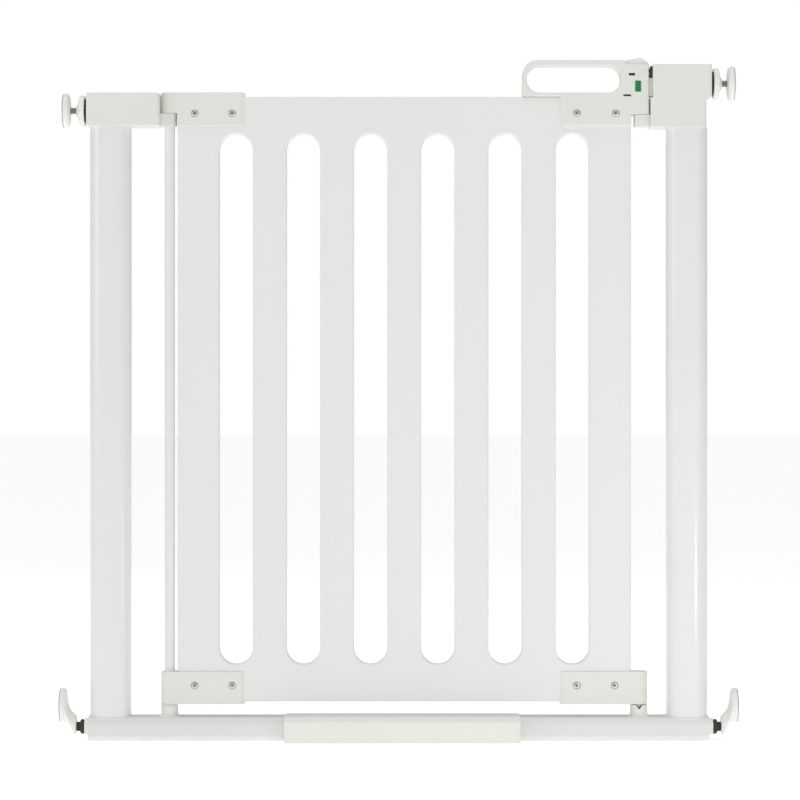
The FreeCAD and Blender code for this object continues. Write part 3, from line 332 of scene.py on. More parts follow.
@dataclass(frozen=True)
class Lacquer:
    """White lacquer on a routed board: faint roller stipple, sealed edges a shade deeper."""

    name: str
    tint: Colour
    mottle: tuple[float, float] = (0.975, 1.015)
    edge_depth: float = 0.86
    edge_share: float = 0.35
    roughness: float = 0.40
    stipple_depth: float = 0.04 * MM
    roller_depth: float = 0.05 * MM
    nib_depth: float = 0.04 * MM
    fibre_depth: float = 0.06 * MM

    def make(self) -> bpy.types.Material:
        """Build the finish.

        Returns:
            The material.
        """
        net = Skin(self.name)
        _, depthwise, _ = net.split(net.facing)
        edge = abs(depthwise).eased(0.75, 0.25)
        broad = net.noise(4.0, 3.0, net.stretched(1.0, 1.0, 0.35))
        dark, light = (deeper(self.tint, share) for share in self.mottle)
        coat = net.blend(broad, dark, light)
        fibres = net.noise(900.0, 3.0, net.stretched(1.0, 1.0, 0.12))
        raised = edge * fibres.eased(0.45, 0.8)
        coat = net.blend(raised * self.edge_share, coat, deeper(self.tint, self.edge_depth))
        nib = net.cells(160.0).eased(0.045, 0.015)
        stipple = net.noise(1100.0, 2.0)
        roller = net.noise(260.0, 2.0, net.stretched(1.0, 1.0, 0.25))
        layers = [
            (stipple, self.stipple_depth),
            (roller, self.roller_depth),
            (nib, self.nib_depth),
            (fibres * edge, self.fibre_depth),
        ]
        net.set(
            Base_Color=coat,
            Roughness=self.roughness + (stipple - 0.5) * 0.12 + edge * 0.10,
            Normal=net.relief(layers),
            Coat_Weight=0.10,
            Coat_Roughness=0.30,
        )
        return net.material


@dataclass(frozen=True)
class Moulded:
    """Moulded plastic: a fine spark-etched skin, faint flow marks, painted shade in its inner corners and,
    if asked, a painted highlight on its upward faces.
    """

    name: str
    tint: Colour
    mottle: tuple[float, float] = (0.965, 1.02)
    speck_share: float = 0.08
    # Share and colour of a painted highlight that whitens upward faces.
    top_highlight: float = 0.0
    top_highlight_tint: Colour = shade(254, 254, 253)
    corner_shade: float = 0.28
    roughness: float = 0.46
    etch_grain: float = 1900.0
    etch_depth: float = 0.045 * MM
    flow_depth: float = 0.03 * MM
    gloss: float = 0.12

    def make(self) -> bpy.types.Material:
        """Build the finish.

        Returns:
            The material.
        """
        net = Skin(self.name)
        flow = net.noise(26.0, 3.0, net.stretched(0.5, 1.6, 1.0))
        dark, light = (deeper(self.tint, share) for share in self.mottle)
        skin = net.blend(flow, dark, light)
        speck = net.cells(700.0).eased(0.085, 0.03)
        skin = net.blend(speck * self.speck_share, skin, deeper(self.tint, 0.5))
        # Painted highlight: upward faces are whitened as if lit from above.
        if self.top_highlight:
            _, _, upward = net.split(net.facing)
            skin = net.blend(upward.eased(0.4, 0.9) * self.top_highlight, skin, self.top_highlight_tint)
        # Painted shade: an occlusion mask darkens the piece's own inner corners, by the share corner_shade.
        painted_corner_shade = net.corners(4 * MM).eased(0.9, 0.3) * self.corner_shade
        skin = net.blend(painted_corner_shade, skin, deeper(self.tint, 0.55))
        etched = net.noise(self.etch_grain, 3.0, blend=0.6)
        scuff = net.noise(90.0, 5.0, net.stretched(0.25, 1.0, 2.2)).eased(0.62, 0.74)
        net.set(
            Base_Color=skin,
            Roughness=self.roughness + (etched - 0.5) * 0.14 + (flow - 0.5) * 0.08 - scuff * 0.07,
            Normal=net.relief([(etched, self.etch_depth), (flow, self.flow_depth)]),
            Coat_Weight=self.gloss,
            Coat_Roughness=0.20,
        )
        return net.material


@dataclass(frozen=True)
class PlatedSteel:
    """Plated steel: slightly clouded, with fine turned scratches, and painted shade in its corners that
    also dulls and roughens the metal there.
    """

    name: str
    tint: Colour
    cloud_depth: float = 0.72
    painted_shade_tint: Colour = shade(40, 38, 35)
    painted_shade_share: float = 0.75
    roughness: float = 0.36
    scratch_depth: float = 0.008 * MM

    def make(self) -> bpy.types.Material:
        """Build the finish.

        Returns:
            The material.
        """
        net = Skin(self.name)
        cloud = net.noise(420.0, 3.0)
        skin = net.blend(cloud, deeper(self.tint, self.cloud_depth), self.tint)
        scratch = net.noise(5200.0, 2.0, net.stretched(1.0, 0.2, 1.0))
        # Painted shade: an occlusion mask darkens the piece's own corners and makes them less metallic and
        # rougher.
        painted_corner_shade = net.corners(2.2 * MM).eased(0.88, 0.30)
        skin = net.blend(painted_corner_shade * self.painted_shade_share, skin, self.painted_shade_tint)
        net.set(
            Base_Color=skin,
            Metallic=1.0 - painted_corner_shade * 0.5,
            Roughness=self.roughness + (cloud - 0.5) * 0.2 + (scratch - 0.5) * 0.12 + painted_corner_shade * 0.3,
            Normal=net.relief([(scratch, self.scratch_depth)]),
        )
        return net.material


@dataclass(frozen=True)
class SoftRubber:
    """Soft moulded rubber with a dusty bloom."""

    name: str
    tint: Colour
    bloom_share: float = 0.35
    roughness: float = 0.78
    pore_depth: float = 0.05 * MM

    def make(self) -> bpy.types.Material:
        """Build the finish.

        Returns:
            The material.
        """
        net = Skin(self.name)
        bloom = net.noise(210.0, 4.0).eased(0.40, 0.72)
        skin = net.blend(bloom * self.bloom_share, self.tint, deeper(self.tint, 1.5))
        pores = net.noise(2400.0, 3.0)
        net.set(
            Base_Color=skin,
            Roughness=self.roughness + (pores - 0.5) * 0.12,
            Normal=net.relief([(pores, self.pore_depth)]),
        )
        return net.material


@dataclass(frozen=True)
class TintedLens:
    """Small green window, glossy, with a painted glow of brighter green in its middle and a pale painted
    highlight round its edge.
    """

    name: str
    tint: Colour
    # glow is the colour of the painted glow in the middle; rim is the colour of the painted highlight round
    # the edge.
    glow: Colour
    rim: Colour
    middle: tuple[float, float] = (281.5 * MM, 769.1 * MM)
    half: tuple[float, float] = (4.25 * MM, 7.25 * MM)
    highlight_width: float = 1.15 * MM
    clearness: float = 0.18
    swirl_depth: float = 0.01 * MM

    def make(self) -> bpy.types.Material:
        """Build the finish.

        Returns:
            The material.
        """
        net = Skin(self.name)
        swirl = net.noise(500.0, 2.0)
        across, _, up = net.split(net.place)
        across, up = across - self.middle[0], up - self.middle[1]
        inward = (self.half[0] - abs(across)).least(self.half[1] - abs(up))
        # Painted highlight: a pale band round the edge stands for light caught on the lens' bevelled rim.
        rim = inward.eased(self.highlight_width, self.highlight_width * 0.55)
        # Painted glow: the middle is blended towards the glow colour.
        core = (abs(across) * 1.6 + abs(up) * 0.7).eased(4.2 * MM, 1.2 * MM)
        skin = net.blend(core, net.blend(swirl, deeper(self.tint, 0.85), self.tint), self.glow)
        net.set(
            Base_Color=net.blend(rim, skin, self.rim),
            Roughness=0.10 + (swirl - 0.5) * 0.06,
            Alpha=rim * 0.15 + (1 - self.clearness),
            Normal=net.relief([(swirl, self.swirl_depth)]),
        )
        return net.material


@dataclass(frozen=True)
class StudioPaper:
    """Plain pale floor."""

    name: str = "studio_paper"
    tint: Colour = (0.96, 0.96, 0.96, 1.0)
    glow: float = 0.40

    def make(self) -> bpy.types.Material:
        """Build the finish.

        Returns:
            The material.
        """
        net = Skin(self.name)
        tooth = net.noise(350.0, 3.0)
        net.set(
            Base_Color=self.tint,
            Roughness=0.9 + (tooth - 0.5) * 0.1,
            Specular_IOR_Level=0.0,
            Emission_Color=WHITE,
            Emission_Strength=self.glow,
        )
        return net.material


class Finish(Enum):
    """The finishes of the gate."""

    STEEL_COAT = PowderCoat("powder_coat_white", shade(238, 238, 236))
    # Painted shade: the base tube gets a darker copy of the posts' white powder coat.
    SHADED_BASE_COAT = PowderCoat("powder_coat_base_shaded", shade(231, 231, 230))
    BOARD_LACQUER = Lacquer("board_lacquer_white", shade(239, 239, 237))
    CASE_PLASTIC = Moulded("case_plastic_offwhite", shade(235, 235, 229))
    TRIM_PLASTIC = Moulded("trim_plastic_white", shade(243, 243, 238), roughness=0.42)
    # Painted light: the bolt gets a lighter copy of the case plastic without corner shade, to brighten its
    # tip where it sits in shade in the strike.
    LIT_BOLT_PLASTIC = Moulded("bolt_plastic_painted_light", shade(250, 249, 241), corner_shade=0.0)
    # The ramp's plastic has a painted highlight on its upward faces.
    RAMP_PLASTIC = Moulded(
        "ramp_plastic_cream", shade(240, 240, 232), top_highlight=1.0, etch_depth=0.05 * MM, gloss=0.45
    )
    BLACK_PLASTIC = Moulded("black_plastic", shade(16, 16, 17), roughness=0.44, gloss=0.0)
    ZINC = PlatedSteel("zinc_screws", shade(226, 226, 224))
    THREAD_STEEL = PlatedSteel("grey_thread", shade(176, 175, 172), roughness=0.40)
    DARK_STEEL = PlatedSteel("dark_thread", shade(66, 65, 64))
    GREY_RUBBER = SoftRubber("grey_rubber", shade(150, 150, 147))
    SIGNAL_GREEN = Moulded("signal_green", shade(24, 92, 52), roughness=0.35)
    GREEN_LENS = TintedLens("green_window", shade(58, 134, 88), shade(30, 146, 80), shade(196, 232, 208))

    @property
    def material(self) -> bpy.types.Material:
        """Return the finish's material, made on first use."""
        return bpy.data.materials.get(self.value.name) or self.value.make()


def dress(piece: bpy.types.Object, finish: Finish) -> bpy.types.Object:
    """Give a piece one finish all over.

    Args:
        piece: The object to dress.
        finish: The finish.

    Returns:
        The same object.
    """
    piece.data.materials.clear()
    piece.data.materials.append(finish.material)
    return piece


def dress_nodes(nodes: Sequence[str], finish: Finish) -> None:
    """Give some of the gate's own nodes one finish."""
    for node in nodes:
        dress(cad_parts[node], finish)


# ---- mesh making


class Side(Enum):
    """Left or right end of the gate, as the sign of X there."""

    LEFT = -1
    RIGHT = 1

    @property
    def word(self) -> str:
        """Return the name used in node names."""
        return self.name.lower()


@dataclass
class Shape:
    """A mesh in the making, in metres in the gate's frame."""

    name: str
    mesh: bmesh.types.BMesh = field(default_factory=bmesh.new)
    merge_reach: float = 1e-7

    def ring(self, points: Sequence[Vector]) -> list[bmesh.types.BMVert]:
        """Add a ring of vertices."""
        return [self.mesh.verts.new(point) for point in points]

    def bridge(self, first: Sequence[bmesh.types.BMVert], second: Sequence[bmesh.types.BMVert]) -> None:
        """Join two rings of the same length with faces.

        Args:
            first: The first ring.
            second: The second ring.
        """
        count = len(first)
        for index in range(count):
            following = (index + 1) % count
            self.mesh.faces.new((first[index], first[following], second[following], second[index]))

    def cap(self, ring: Sequence[bmesh.types.BMVert]) -> None:
        """Close a ring with a fan of faces about its middle.

        Args:
            ring: The ring to close.
        """
        middle = sum((vertex.co for vertex in ring), Vector()) / len(ring)
        hub = self.mesh.verts.new(middle)
        count = len(ring)
        for index in range(count):
            self.mesh.faces.new((ring[index], ring[(index + 1) % count], hub))

    def loft(self, rings: Sequence[Sequence[Vector]], closed: bool = False) -> None:
        """Skin a row of rings.

        Args:
            rings: The rings' points, all of one length.
            closed: Join the last ring to the first in place of capping both ends.
        """
        made = [self.ring(points) for points in rings]
        for first, second in zip(made, made[1:]):
            self.bridge(first, second)
        if closed:
            self.bridge(made[-1], made[0])
        else:
            self.cap(made[0])
            self.cap(made[-1])

    def finish(self, crease: float = 40.0) -> bpy.types.Object:
        """Turn the mesh into a linked object.

        Args:
            crease: Edges that turn by more degrees than this stay sharp.

        Returns:
            The object.
        """
        bmesh.ops.remove_doubles(self.mesh, verts=self.mesh.verts, dist=self.merge_reach)
        bmesh.ops.recalc_face_normals(self.mesh, faces=self.mesh.faces)
        for face in self.mesh.faces:
            face.smooth = True
        for edge in self.mesh.edges:
            if len(edge.link_faces) == 2:
                edge.smooth = edge.calc_face_angle(0.0) < math.radians(crease)
        data = bpy.data.meshes.new(self.name)
        self.mesh.to_mesh(data)
        self.mesh.free()
        made = bpy.data.objects.new(self.name, data)
        bpy.context.scene.collection.objects.link(made)
        return made


def softened(profile: Sequence[tuple[float, float, float]], steps: int = 5) -> list[tuple[float, float]]:
    """Round the corners of an outline.

    Args:
        profile: Each corner's two coordinates and the radius of its rounding, ends included.
        steps: Steps round a rounded corner.

    Returns:
        The points of the rounded outline.
    """
    most_of_an_edge = 0.49
    points = [(profile[0][0], profile[0][1])]
    for before, here, after in zip(profile, profile[1:], profile[2:]):
        corner = Vector(here[:2])
        back, ahead = Vector(before[:2]) - corner, Vector(after[:2]) - corner
        if here[2] <= 0:
            points.append((corner.x, corner.y))
            continue
        half_turn = back.angle(ahead) / 2
        room = min(back.length, ahead.length) * most_of_an_edge
        reach = min(here[2] / math.tan(half_turn), room)
        start, end = corner + back.normalized() * reach, corner + ahead.normalized() * reach
        for step in range(steps + 1):
            share = step / steps
            point = start * (1 - share) ** 2 + corner * 2 * share * (1 - share) + end * share**2
            points.append((point.x, point.y))
    points.append((profile[-1][0], profile[-1][1]))
    return points


@dataclass(frozen=True)
class Axle:
    """A line parallel to X that turned pieces stand on, pointing outwards at one end of the gate."""

    side: Side
    level: float

    def point(self, reach: float, radius: float, angle: float) -> Vector:
        """Return the point at a reach from the gate's middle, a radius and an angle about the axle."""
        across = self.side.value * reach
        return Vector((across, radius * math.sin(angle), self.level + radius * math.cos(angle)))

    def rings(
        self,
        profile: Sequence[tuple[float, float]],
        segments: int,
        ripple: Optional[Callable[[float, float, float], float]] = None,
    ) -> list[list[Vector]]:
        """Turn a profile about the axle.

        Args:
            profile: Reach and radius of each ring.
            segments: Points in a ring.
            ripple: Gives the radius at an angle, a reach and the profile's own radius.

        Returns:
            The rings' points.
        """
        angles = [math.tau * index / segments for index in range(segments)]
        return [
            [
                self.point(reach, ripple(angle, reach, radius) if ripple else radius, angle)
                for angle in angles
            ]
            for reach, radius in profile
        ]


# ---- turned pieces at the ends


@dataclass
class PressureSpindle:
    """One screw-out spindle: its thread, wall pad and rubber, and the wheel or nut that drives it."""

    side: Side
    place: str
    pitch: float = 1.25 * MM
    root: float = 3.35 * MM
    flank: float = 2.6
    segments: int = 96
    thread: Finish = Finish.THREAD_STEEL

    @property
    def key(self) -> str:
        """Return the first words of this spindle's node names."""
        return f"{self.place}_{self.side.word}"

    @property
    def body(self) -> str:
        """Return the body that the spindle rides on."""
        return f"{self.key}_spindle"

    def axle(self, node: str) -> Axle:
        """Return the line through the middle of a node."""
        low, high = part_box(node)
        return Axle(self.side, (low.z + high.z) / 2)

    def reach(self, node: str) -> tuple[float, float]:
        """Return a node's inner and outer distance from the gate's middle."""
        low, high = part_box(node)
        return tuple(sorted((abs(low.x), abs(high.x))))

    def radius(self, node: str) -> float:
        """Return half of a node's height."""
        low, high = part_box(node)
        return (high.z - low.z) / 2

    def swap(
        self, piece: bpy.types.Object, node: str, body: str, finish: Finish, slot: str
    ) -> bpy.types.Object:
        """Put a finished piece in the place of a node.

        Args:
            piece: The finished piece.
            node: The node that it stands for.
            body: The body that it rides on.
            finish: Its finish.
            slot: Not used.

        Returns:
            The piece.
        """
        dress(piece, finish)
        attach(piece, body)
        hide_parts(node)
        LOG.info("%s stands for %s on %s", piece.name, node, body)
        return piece

    def make_thread(self) -> bpy.types.Object:
        """Cut a helical thread on the rod.

        Returns:
            The threaded rod.
        """
        node = f"{self.key}_spindle"
        inner, outer = self.reach(node)
        crest = self.radius(node)
        steps_in_a_turn, around = 6, 30
        count = int((outer - inner) / self.pitch * steps_in_a_turn)

        def groove(angle: float, reach: float, radius: float) -> float:
            """Follow the helix.

            Args:
                angle: Angle about the rod.
                reach: Distance from the gate's middle.
                radius: The plain rod's radius.

            Returns:
                The radius of the thread there.
            """
            turn = ((reach - inner) / self.pitch + angle / math.tau) % 1.0
            ridge = max(0.0, 1.0 - abs(turn - 0.5) * self.flank)
            fade = min(1.0, (reach - inner) / self.pitch)
            return self.root + (radius - self.root) * ridge * fade

        profile = [(inner + (outer - inner) * step / count, crest) for step in range(count + 1)]
        shape = Shape(f"{self.key}_thread")
        shape.loft(self.axle(node).rings(profile, around, groove))
        return self.swap(shape.finish(60.0), node, self.body, self.thread, "black_steel")

    def make_rubber(self) -> bpy.types.Object:
        """Mould the rubber face with rings that grip the wall.

        Returns:
            The rubber face.
        """
        node = f"{self.key}_rubber"
        seat, face = self.reach(node)
        radius = self.radius(node)
        grooves, depth, slope, width, ease = 4, 0.35 * MM, 0.5 * MM, 1.8 * MM, 0.15 * MM
        corners = [(seat, 0.0, 0.0), (seat, radius, 0.0), (face, radius, 0.4 * MM)]
        spacing = radius / (grooves + 1)
        for groove in range(grooves):
            start = radius - spacing * (groove + 0.75)
            corners += [
                (face, start, ease),
                (face - depth, start - slope, ease),
                (face - depth, start - width + slope, ease),
                (face, start - width, ease),
            ]
        corners.append((face, 0.0, 0.0))
        profile = [point for point in softened(corners, 3) if point[1] > 0]
        shape = Shape(f"{self.key}_grip_face")
        shape.loft(self.axle(node).rings(profile, self.segments))
        return self.swap(shape.finish(50.0), node, self.body, Finish.GREY_RUBBER, "rubber")


@dataclass
class TopSpindle(PressureSpindle):
    """A top spindle: washer, hand wheel and round wall pad."""

    place: str = "top"
    washer_thick: float = 2.8 * MM
    washer_radius: float = 13.7 * MM
    flutes: int = 12
    flute_depth: float = 1.1 * MM

    def make_washer(self) -> bpy.types.Object:
        """Press the black washer that the wheel turns against.

        Returns:
            The washer.
        """
        start, _ = self.reach(f"{self.key}_wheel")
        end, radius, bore = start + self.washer_thick, self.washer_radius, 9.2 * MM
        profile = softened(
            [(start, bore, 0), (start, radius, 0.3 * MM), (end, radius, 0.3 * MM), (end, bore, 0)], 3
        )
        shape = Shape(f"{self.key}_washer")
        shape.loft(self.axle(f"{self.key}_wheel").rings(profile, self.segments), closed=True)
        piece = dress(shape.finish(40.0), Finish.BLACK_PLASTIC)
        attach(piece, f"{self.key}_wheel")
        LOG.info("%s on %s_wheel", piece.name, self.key)
        return piece

    def make_wheel(self) -> bpy.types.Object:
        """Mould the hand wheel: a neck inside the washer, a fluted rim and a cone to the hub.

        Returns:
            The hand wheel.
        """
        node = f"{self.key}_wheel"
        start, end = self.reach(node)
        rim = start + self.washer_thick
        radius = self.radius(node)
        hub, bore, neck = 5.2 * MM, 4.05 * MM, 9.0 * MM
        profile = softened(
            [
                (start, bore, 0),
                (start, neck, 0),
                (rim, neck, 0),
                (rim, radius - 0.6 * MM, 0.3 * MM),
                (rim + 0.8 * MM, radius, 0.7 * MM),
                (rim + 5.4 * MM, radius, 1.2 * MM),
                (rim + 6.7 * MM, radius - 3.0 * MM, 1.4 * MM),
                (rim + 7.2 * MM, radius - 7.2 * MM, 1.6 * MM),
                (rim + 8.6 * MM, hub + 2.6 * MM, 1.0 * MM),
                (end, hub, 0.5 * MM),
                (end, bore, 0),
            ],
            6,
        )

        def flute(angle: float, reach: float, at: float) -> float:
            """Sink the finger flutes into the rim, and leave the washer's side of it round.

            Args:
                angle: Angle about the wheel.
                reach: Distance from the gate's middle.
                at: The plain wheel's radius there.

            Returns:
                The radius with its flutes.
            """
            fluted = 0.28
            beyond = min(1.0, max(0.0, (at - radius * (1 - fluted)) / (radius * fluted)))
            lengthwise = min(1.0, max(0.0, (reach - rim - 0.6 * MM) / (1.4 * MM)))
            scallop = max(0.0, math.cos(angle * self.flutes)) ** 1.5
            return at - self.flute_depth * scallop * beyond * lengthwise

        shape = Shape(f"{self.key}_hand_wheel")
        points_in_a_flute = 16
        shape.loft(self.axle(node).rings(profile, self.flutes * points_in_a_flute, flute), closed=True)
        return self.swap(shape.finish(50.0), node, node, Finish.TRIM_PLASTIC, "white_plastic")

    def make_pad(self) -> bpy.types.Object:
        """Mould the round wall pad, with its hub on the back.

        Returns:
            The pad.
        """
        node = f"{self.key}_pad"
        back, seat = self.reach(node)
        radius = self.radius(node)
        bore = 4.0 * MM
        profile = softened(
            [
                (back + 5.9 * MM, bore, 0),
                (back, bore, 0),
                (back, 5.8 * MM, 0.5 * MM),
                (back + 0.6 * MM, radius - 8.6 * MM, 2.0 * MM),
                (back + 1.0 * MM, radius - 4.6 * MM, 2.5 * MM),
                (back + 1.8 * MM, radius - 1.7 * MM, 1.5 * MM),
                (back + 3.8 * MM, radius, 2.0 * MM),
                (seat - 0.6 * MM, radius, 0.4 * MM),
                (seat, radius - 0.6 * MM, 0),
                (seat - 0.05 * MM, 1.0 * MM, 0),
            ],
            7,
        )
        shape = Shape(f"{self.key}_wall_pad")
        shape.loft(self.axle(node).rings(profile, self.segments))
        return self.swap(shape.finish(45.0), node, self.body, Finish.TRIM_PLASTIC, "white_plastic")

    def build(self) -> None:
        """Make every piece of the spindle."""
        self.make_washer()
        self.make_wheel()
        self.make_thread()
        self.make_pad()
        self.make_rubber()


@dataclass
class BottomSpindle(PressureSpindle):
    """A bottom spindle: lock nut, and an offset foot that lifts its pad off the floor."""

    place: str = "bottom"
    thread: Finish = Finish.DARK_STEEL
    nut_thick: float = 4.7 * MM
    hub_radius: float = 5.5 * MM
    hub_ribs: int = 18
    rib_depth: float = 0.35 * MM
    foot_lip: float = 0.7 * MM

    def make_nut(self) -> bpy.types.Object:
        """Mould the nut: six chamfered sides, and a ribbed hub towards the foot.

        Returns:
            The nut.
        """
        node = f"{self.key}_nut"
        start, end = self.reach(node)
        shoulder, hub = start + self.nut_thick, self.hub_radius
        corner = self.radius(node)
        bore, chamfer = 4.05 * MM, 0.6 * MM
        flat = corner * math.cos(math.pi / 6)
        profile = [
            (start, bore),
            (start, flat * 0.97),
            (start + chamfer, corner),
            (shoulder - chamfer, corner),
            (shoulder, flat * 0.97),
            (shoulder, hub),
            (end - chamfer, hub),
            (end, hub - chamfer),
            (end, bore),
        ]

        def grip(angle: float, reach: float, at: float) -> float:
            """Cut the six flats of the nut and the ribs of its hub.

            Args:
                angle: Angle about the nut.
                reach: Distance from the gate's middle, which changes nothing here.
                at: The plain nut's radius there.

            Returns:
                The radius with flats or ribs.
            """
            if at > hub:
                sector = (angle % (math.pi / 3)) - math.pi / 6
                return min(at, flat / math.cos(sector))
            if at > bore + chamfer / 2:
                return at - self.rib_depth * max(0.0, math.cos(angle * self.hub_ribs))
            return at

        shape = Shape(f"{self.key}_lock_nut")
        points_in_a_rib = 8
        shape.loft(self.axle(node).rings(profile, self.hub_ribs * points_in_a_rib, grip), closed=True)
        return self.swap(shape.finish(25.0), node, node, Finish.BLACK_PLASTIC, "black_plastic")

    def make_foot(self) -> bpy.types.Object:
        """Mould the foot: a socket low down that sweeps up into a round pad.

        Returns:
            The foot.
        """
        node = f"{self.key}_foot"
        back, seat = self.reach(node)
        rod = self.axle(f"{self.key}_spindle")
        pad = self.axle(f"{self.key}_rubber")
        radius = self.radius(f"{self.key}_rubber") + self.foot_lip
        # Reach from the back, low and high edge about the rod, and half the depth, in millimetres.
        stations = [
            (0.0, -7.0, 12.0, 6.6),
            (1.0, -8.6, 13.4, 7.4),
            (2.5, -9.4, 15.2, 8.0),
            (4.0, -8.2, 16.6, 8.6),
            (6.3, -3.7, 18.8, 10.0),
            (8.0, 1.8, 21.5, 12.5),
            (9.6, 4.6, 26.0, 15.5),
            (11.2, 5.2, 33.0, 18.0),
            (12.2, 5.4, 42.0, 19.0),
            (13.4, 5.6, 44.2, 19.2),
        ]
        segments = 64
        rings = []
        for reach, low, high, half in stations:
            middle, rise = (low + high) / 2 * MM, (high - low) / 2 * MM
            ring = []
            for index in range(segments):
                angle = math.tau * index / segments
                across = rod.side.value * (back + reach * MM)
                up = rod.level + middle + rise * math.cos(angle)
                ring.append(Vector((across, half * MM * math.sin(angle), up)))
            rings.append(ring)
        shape = Shape(f"{self.key}_offset_foot")
        shape.loft(rings)
        rim = softened(
            [
                (seat - 7.0 * MM, 0.5 * MM, 0),
                (seat - 6.9 * MM, radius - 4.8 * MM, 2.0 * MM),
                (seat - 6.0 * MM, radius - 1.5 * MM, 1.5 * MM),
                (seat - 4.2 * MM, radius, 2.0 * MM),
                (seat - 0.6 * MM, radius, 0.4 * MM),
                (seat, radius - 0.6 * MM, 0),
                (seat - 0.05 * MM, 1.0 * MM, 0),
            ],
            6,
        )
        shape.loft(pad.rings(rim, self.segments))
        return self.swap(shape.finish(45.0), node, self.body, Finish.TRIM_PLASTIC, "white_plastic")

    def build(self) -> None:
        """Make every piece of the spindle."""
        self.make_nut()
        self.make_thread()
        self.make_foot()
        self.make_rubber()


# ---- screws and small fittings


@dataclass
class BracketScrews:
    """The eight pan head screws that clamp the corner brackets."""

    count: int = 8
    head: float = 4.3 * MM
    dome: float = 1.3 * MM
    bulge: float = 2.6
    neck: float = 1.9 * MM
    segments: int = 48
    dome_shares: tuple[float, ...] = (0.06, 0.18, 0.30, 0.42, 0.54, 0.66, 0.78, 0.88, 0.95, 1.0)

    def make_head(self, node: str) -> bpy.types.Object:
        """Form a domed head with a cross recess, and its shank.

        Args:
            node: The screw's node.

        Returns:
            The finished screw.
        """
        low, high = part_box(node)
        middle = Vector(((low.x + high.x) / 2, low.y, (low.z + high.z) / 2))
        under = low.y + self.dome + 0.02 * MM
        rings = []
        for share in self.dome_shares:
            sink = self.dome * (1 - math.sqrt(max(0.0, 1 - share**self.bulge)))
            rings.append(self._dome_ring(middle, share * self.head, sink))
        for depth, radius in ((under, self.head), (under, self.neck), (high.y, self.neck)):
            rings.append([self._rim_point(middle, radius, angle, depth) for angle in self._angles()])
        shape = Shape(f"{node}_pan_head")
        shape.loft(rings)
        piece = shape.finish(35.0)
        dress(piece, Finish.ZINC)
        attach(piece, "leaf")
        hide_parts(node)
        return piece

    def _angles(self) -> list[float]:
        """Return the angles of a ring's points, from the top."""
        return [math.tau * index / self.segments for index in range(self.segments)]

    @staticmethod
    def _rim_point(middle: Vector, radius: float, angle: float, depth: float) -> Vector:
        """Return the point at a radius and an angle about the screw, at a depth."""
        return Vector((middle.x + radius * math.sin(angle), depth, middle.z + radius * math.cos(angle)))

    @staticmethod
    def _recess(radius: float, angle: float) -> float:
        """Find the depth of the cross recess at a place on the head.

        Args:
            radius: Distance from the middle of the head.
            angle: Angle about it, from the top.

        Returns:
            The depth, which is 0 outside the cross.
        """
        arm, half_width, depth = 2.35 * MM, 0.52 * MM, 1.1 * MM
        wall_slope, end_slope = 0.18 * MM, 1.2 * MM
        across, up = abs(radius * math.sin(angle)), abs(radius * math.cos(angle))
        narrow, far = min(across, up), max(across, up)
        inside = max(0.0, min(1.0, (half_width - narrow) / wall_slope))
        return depth * inside * max(0.0, min(1.0, (arm - far) / end_slope))

    def _dome_ring(self, middle: Vector, radius: float, sink: float) -> list[Vector]:
        """Set out a ring on the dome, sunk where the recess is.

        Args:
            middle: The front of the head, on the screw's line.
            radius: The ring's radius.
            sink: How far the plain dome lies behind its front there.

        Returns:
            The ring's points.
        """
        points = []
        for angle in self._angles():
            depth = middle.y + min(self.dome, sink + self._recess(radius, angle))
            points.append(self._rim_point(middle, radius, angle, depth))
        return points

    def build(self) -> None:
        """Make every screw."""
        for number in range(1, self.count + 1):
            self.make_head(f"bracket_screw_{number}")
            dress(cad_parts[f"sleeve_nut_{number}"], Finish.ZINC)
        LOG.info("%d screws and their sleeve nuts", self.count)


# ---- frame and leaf


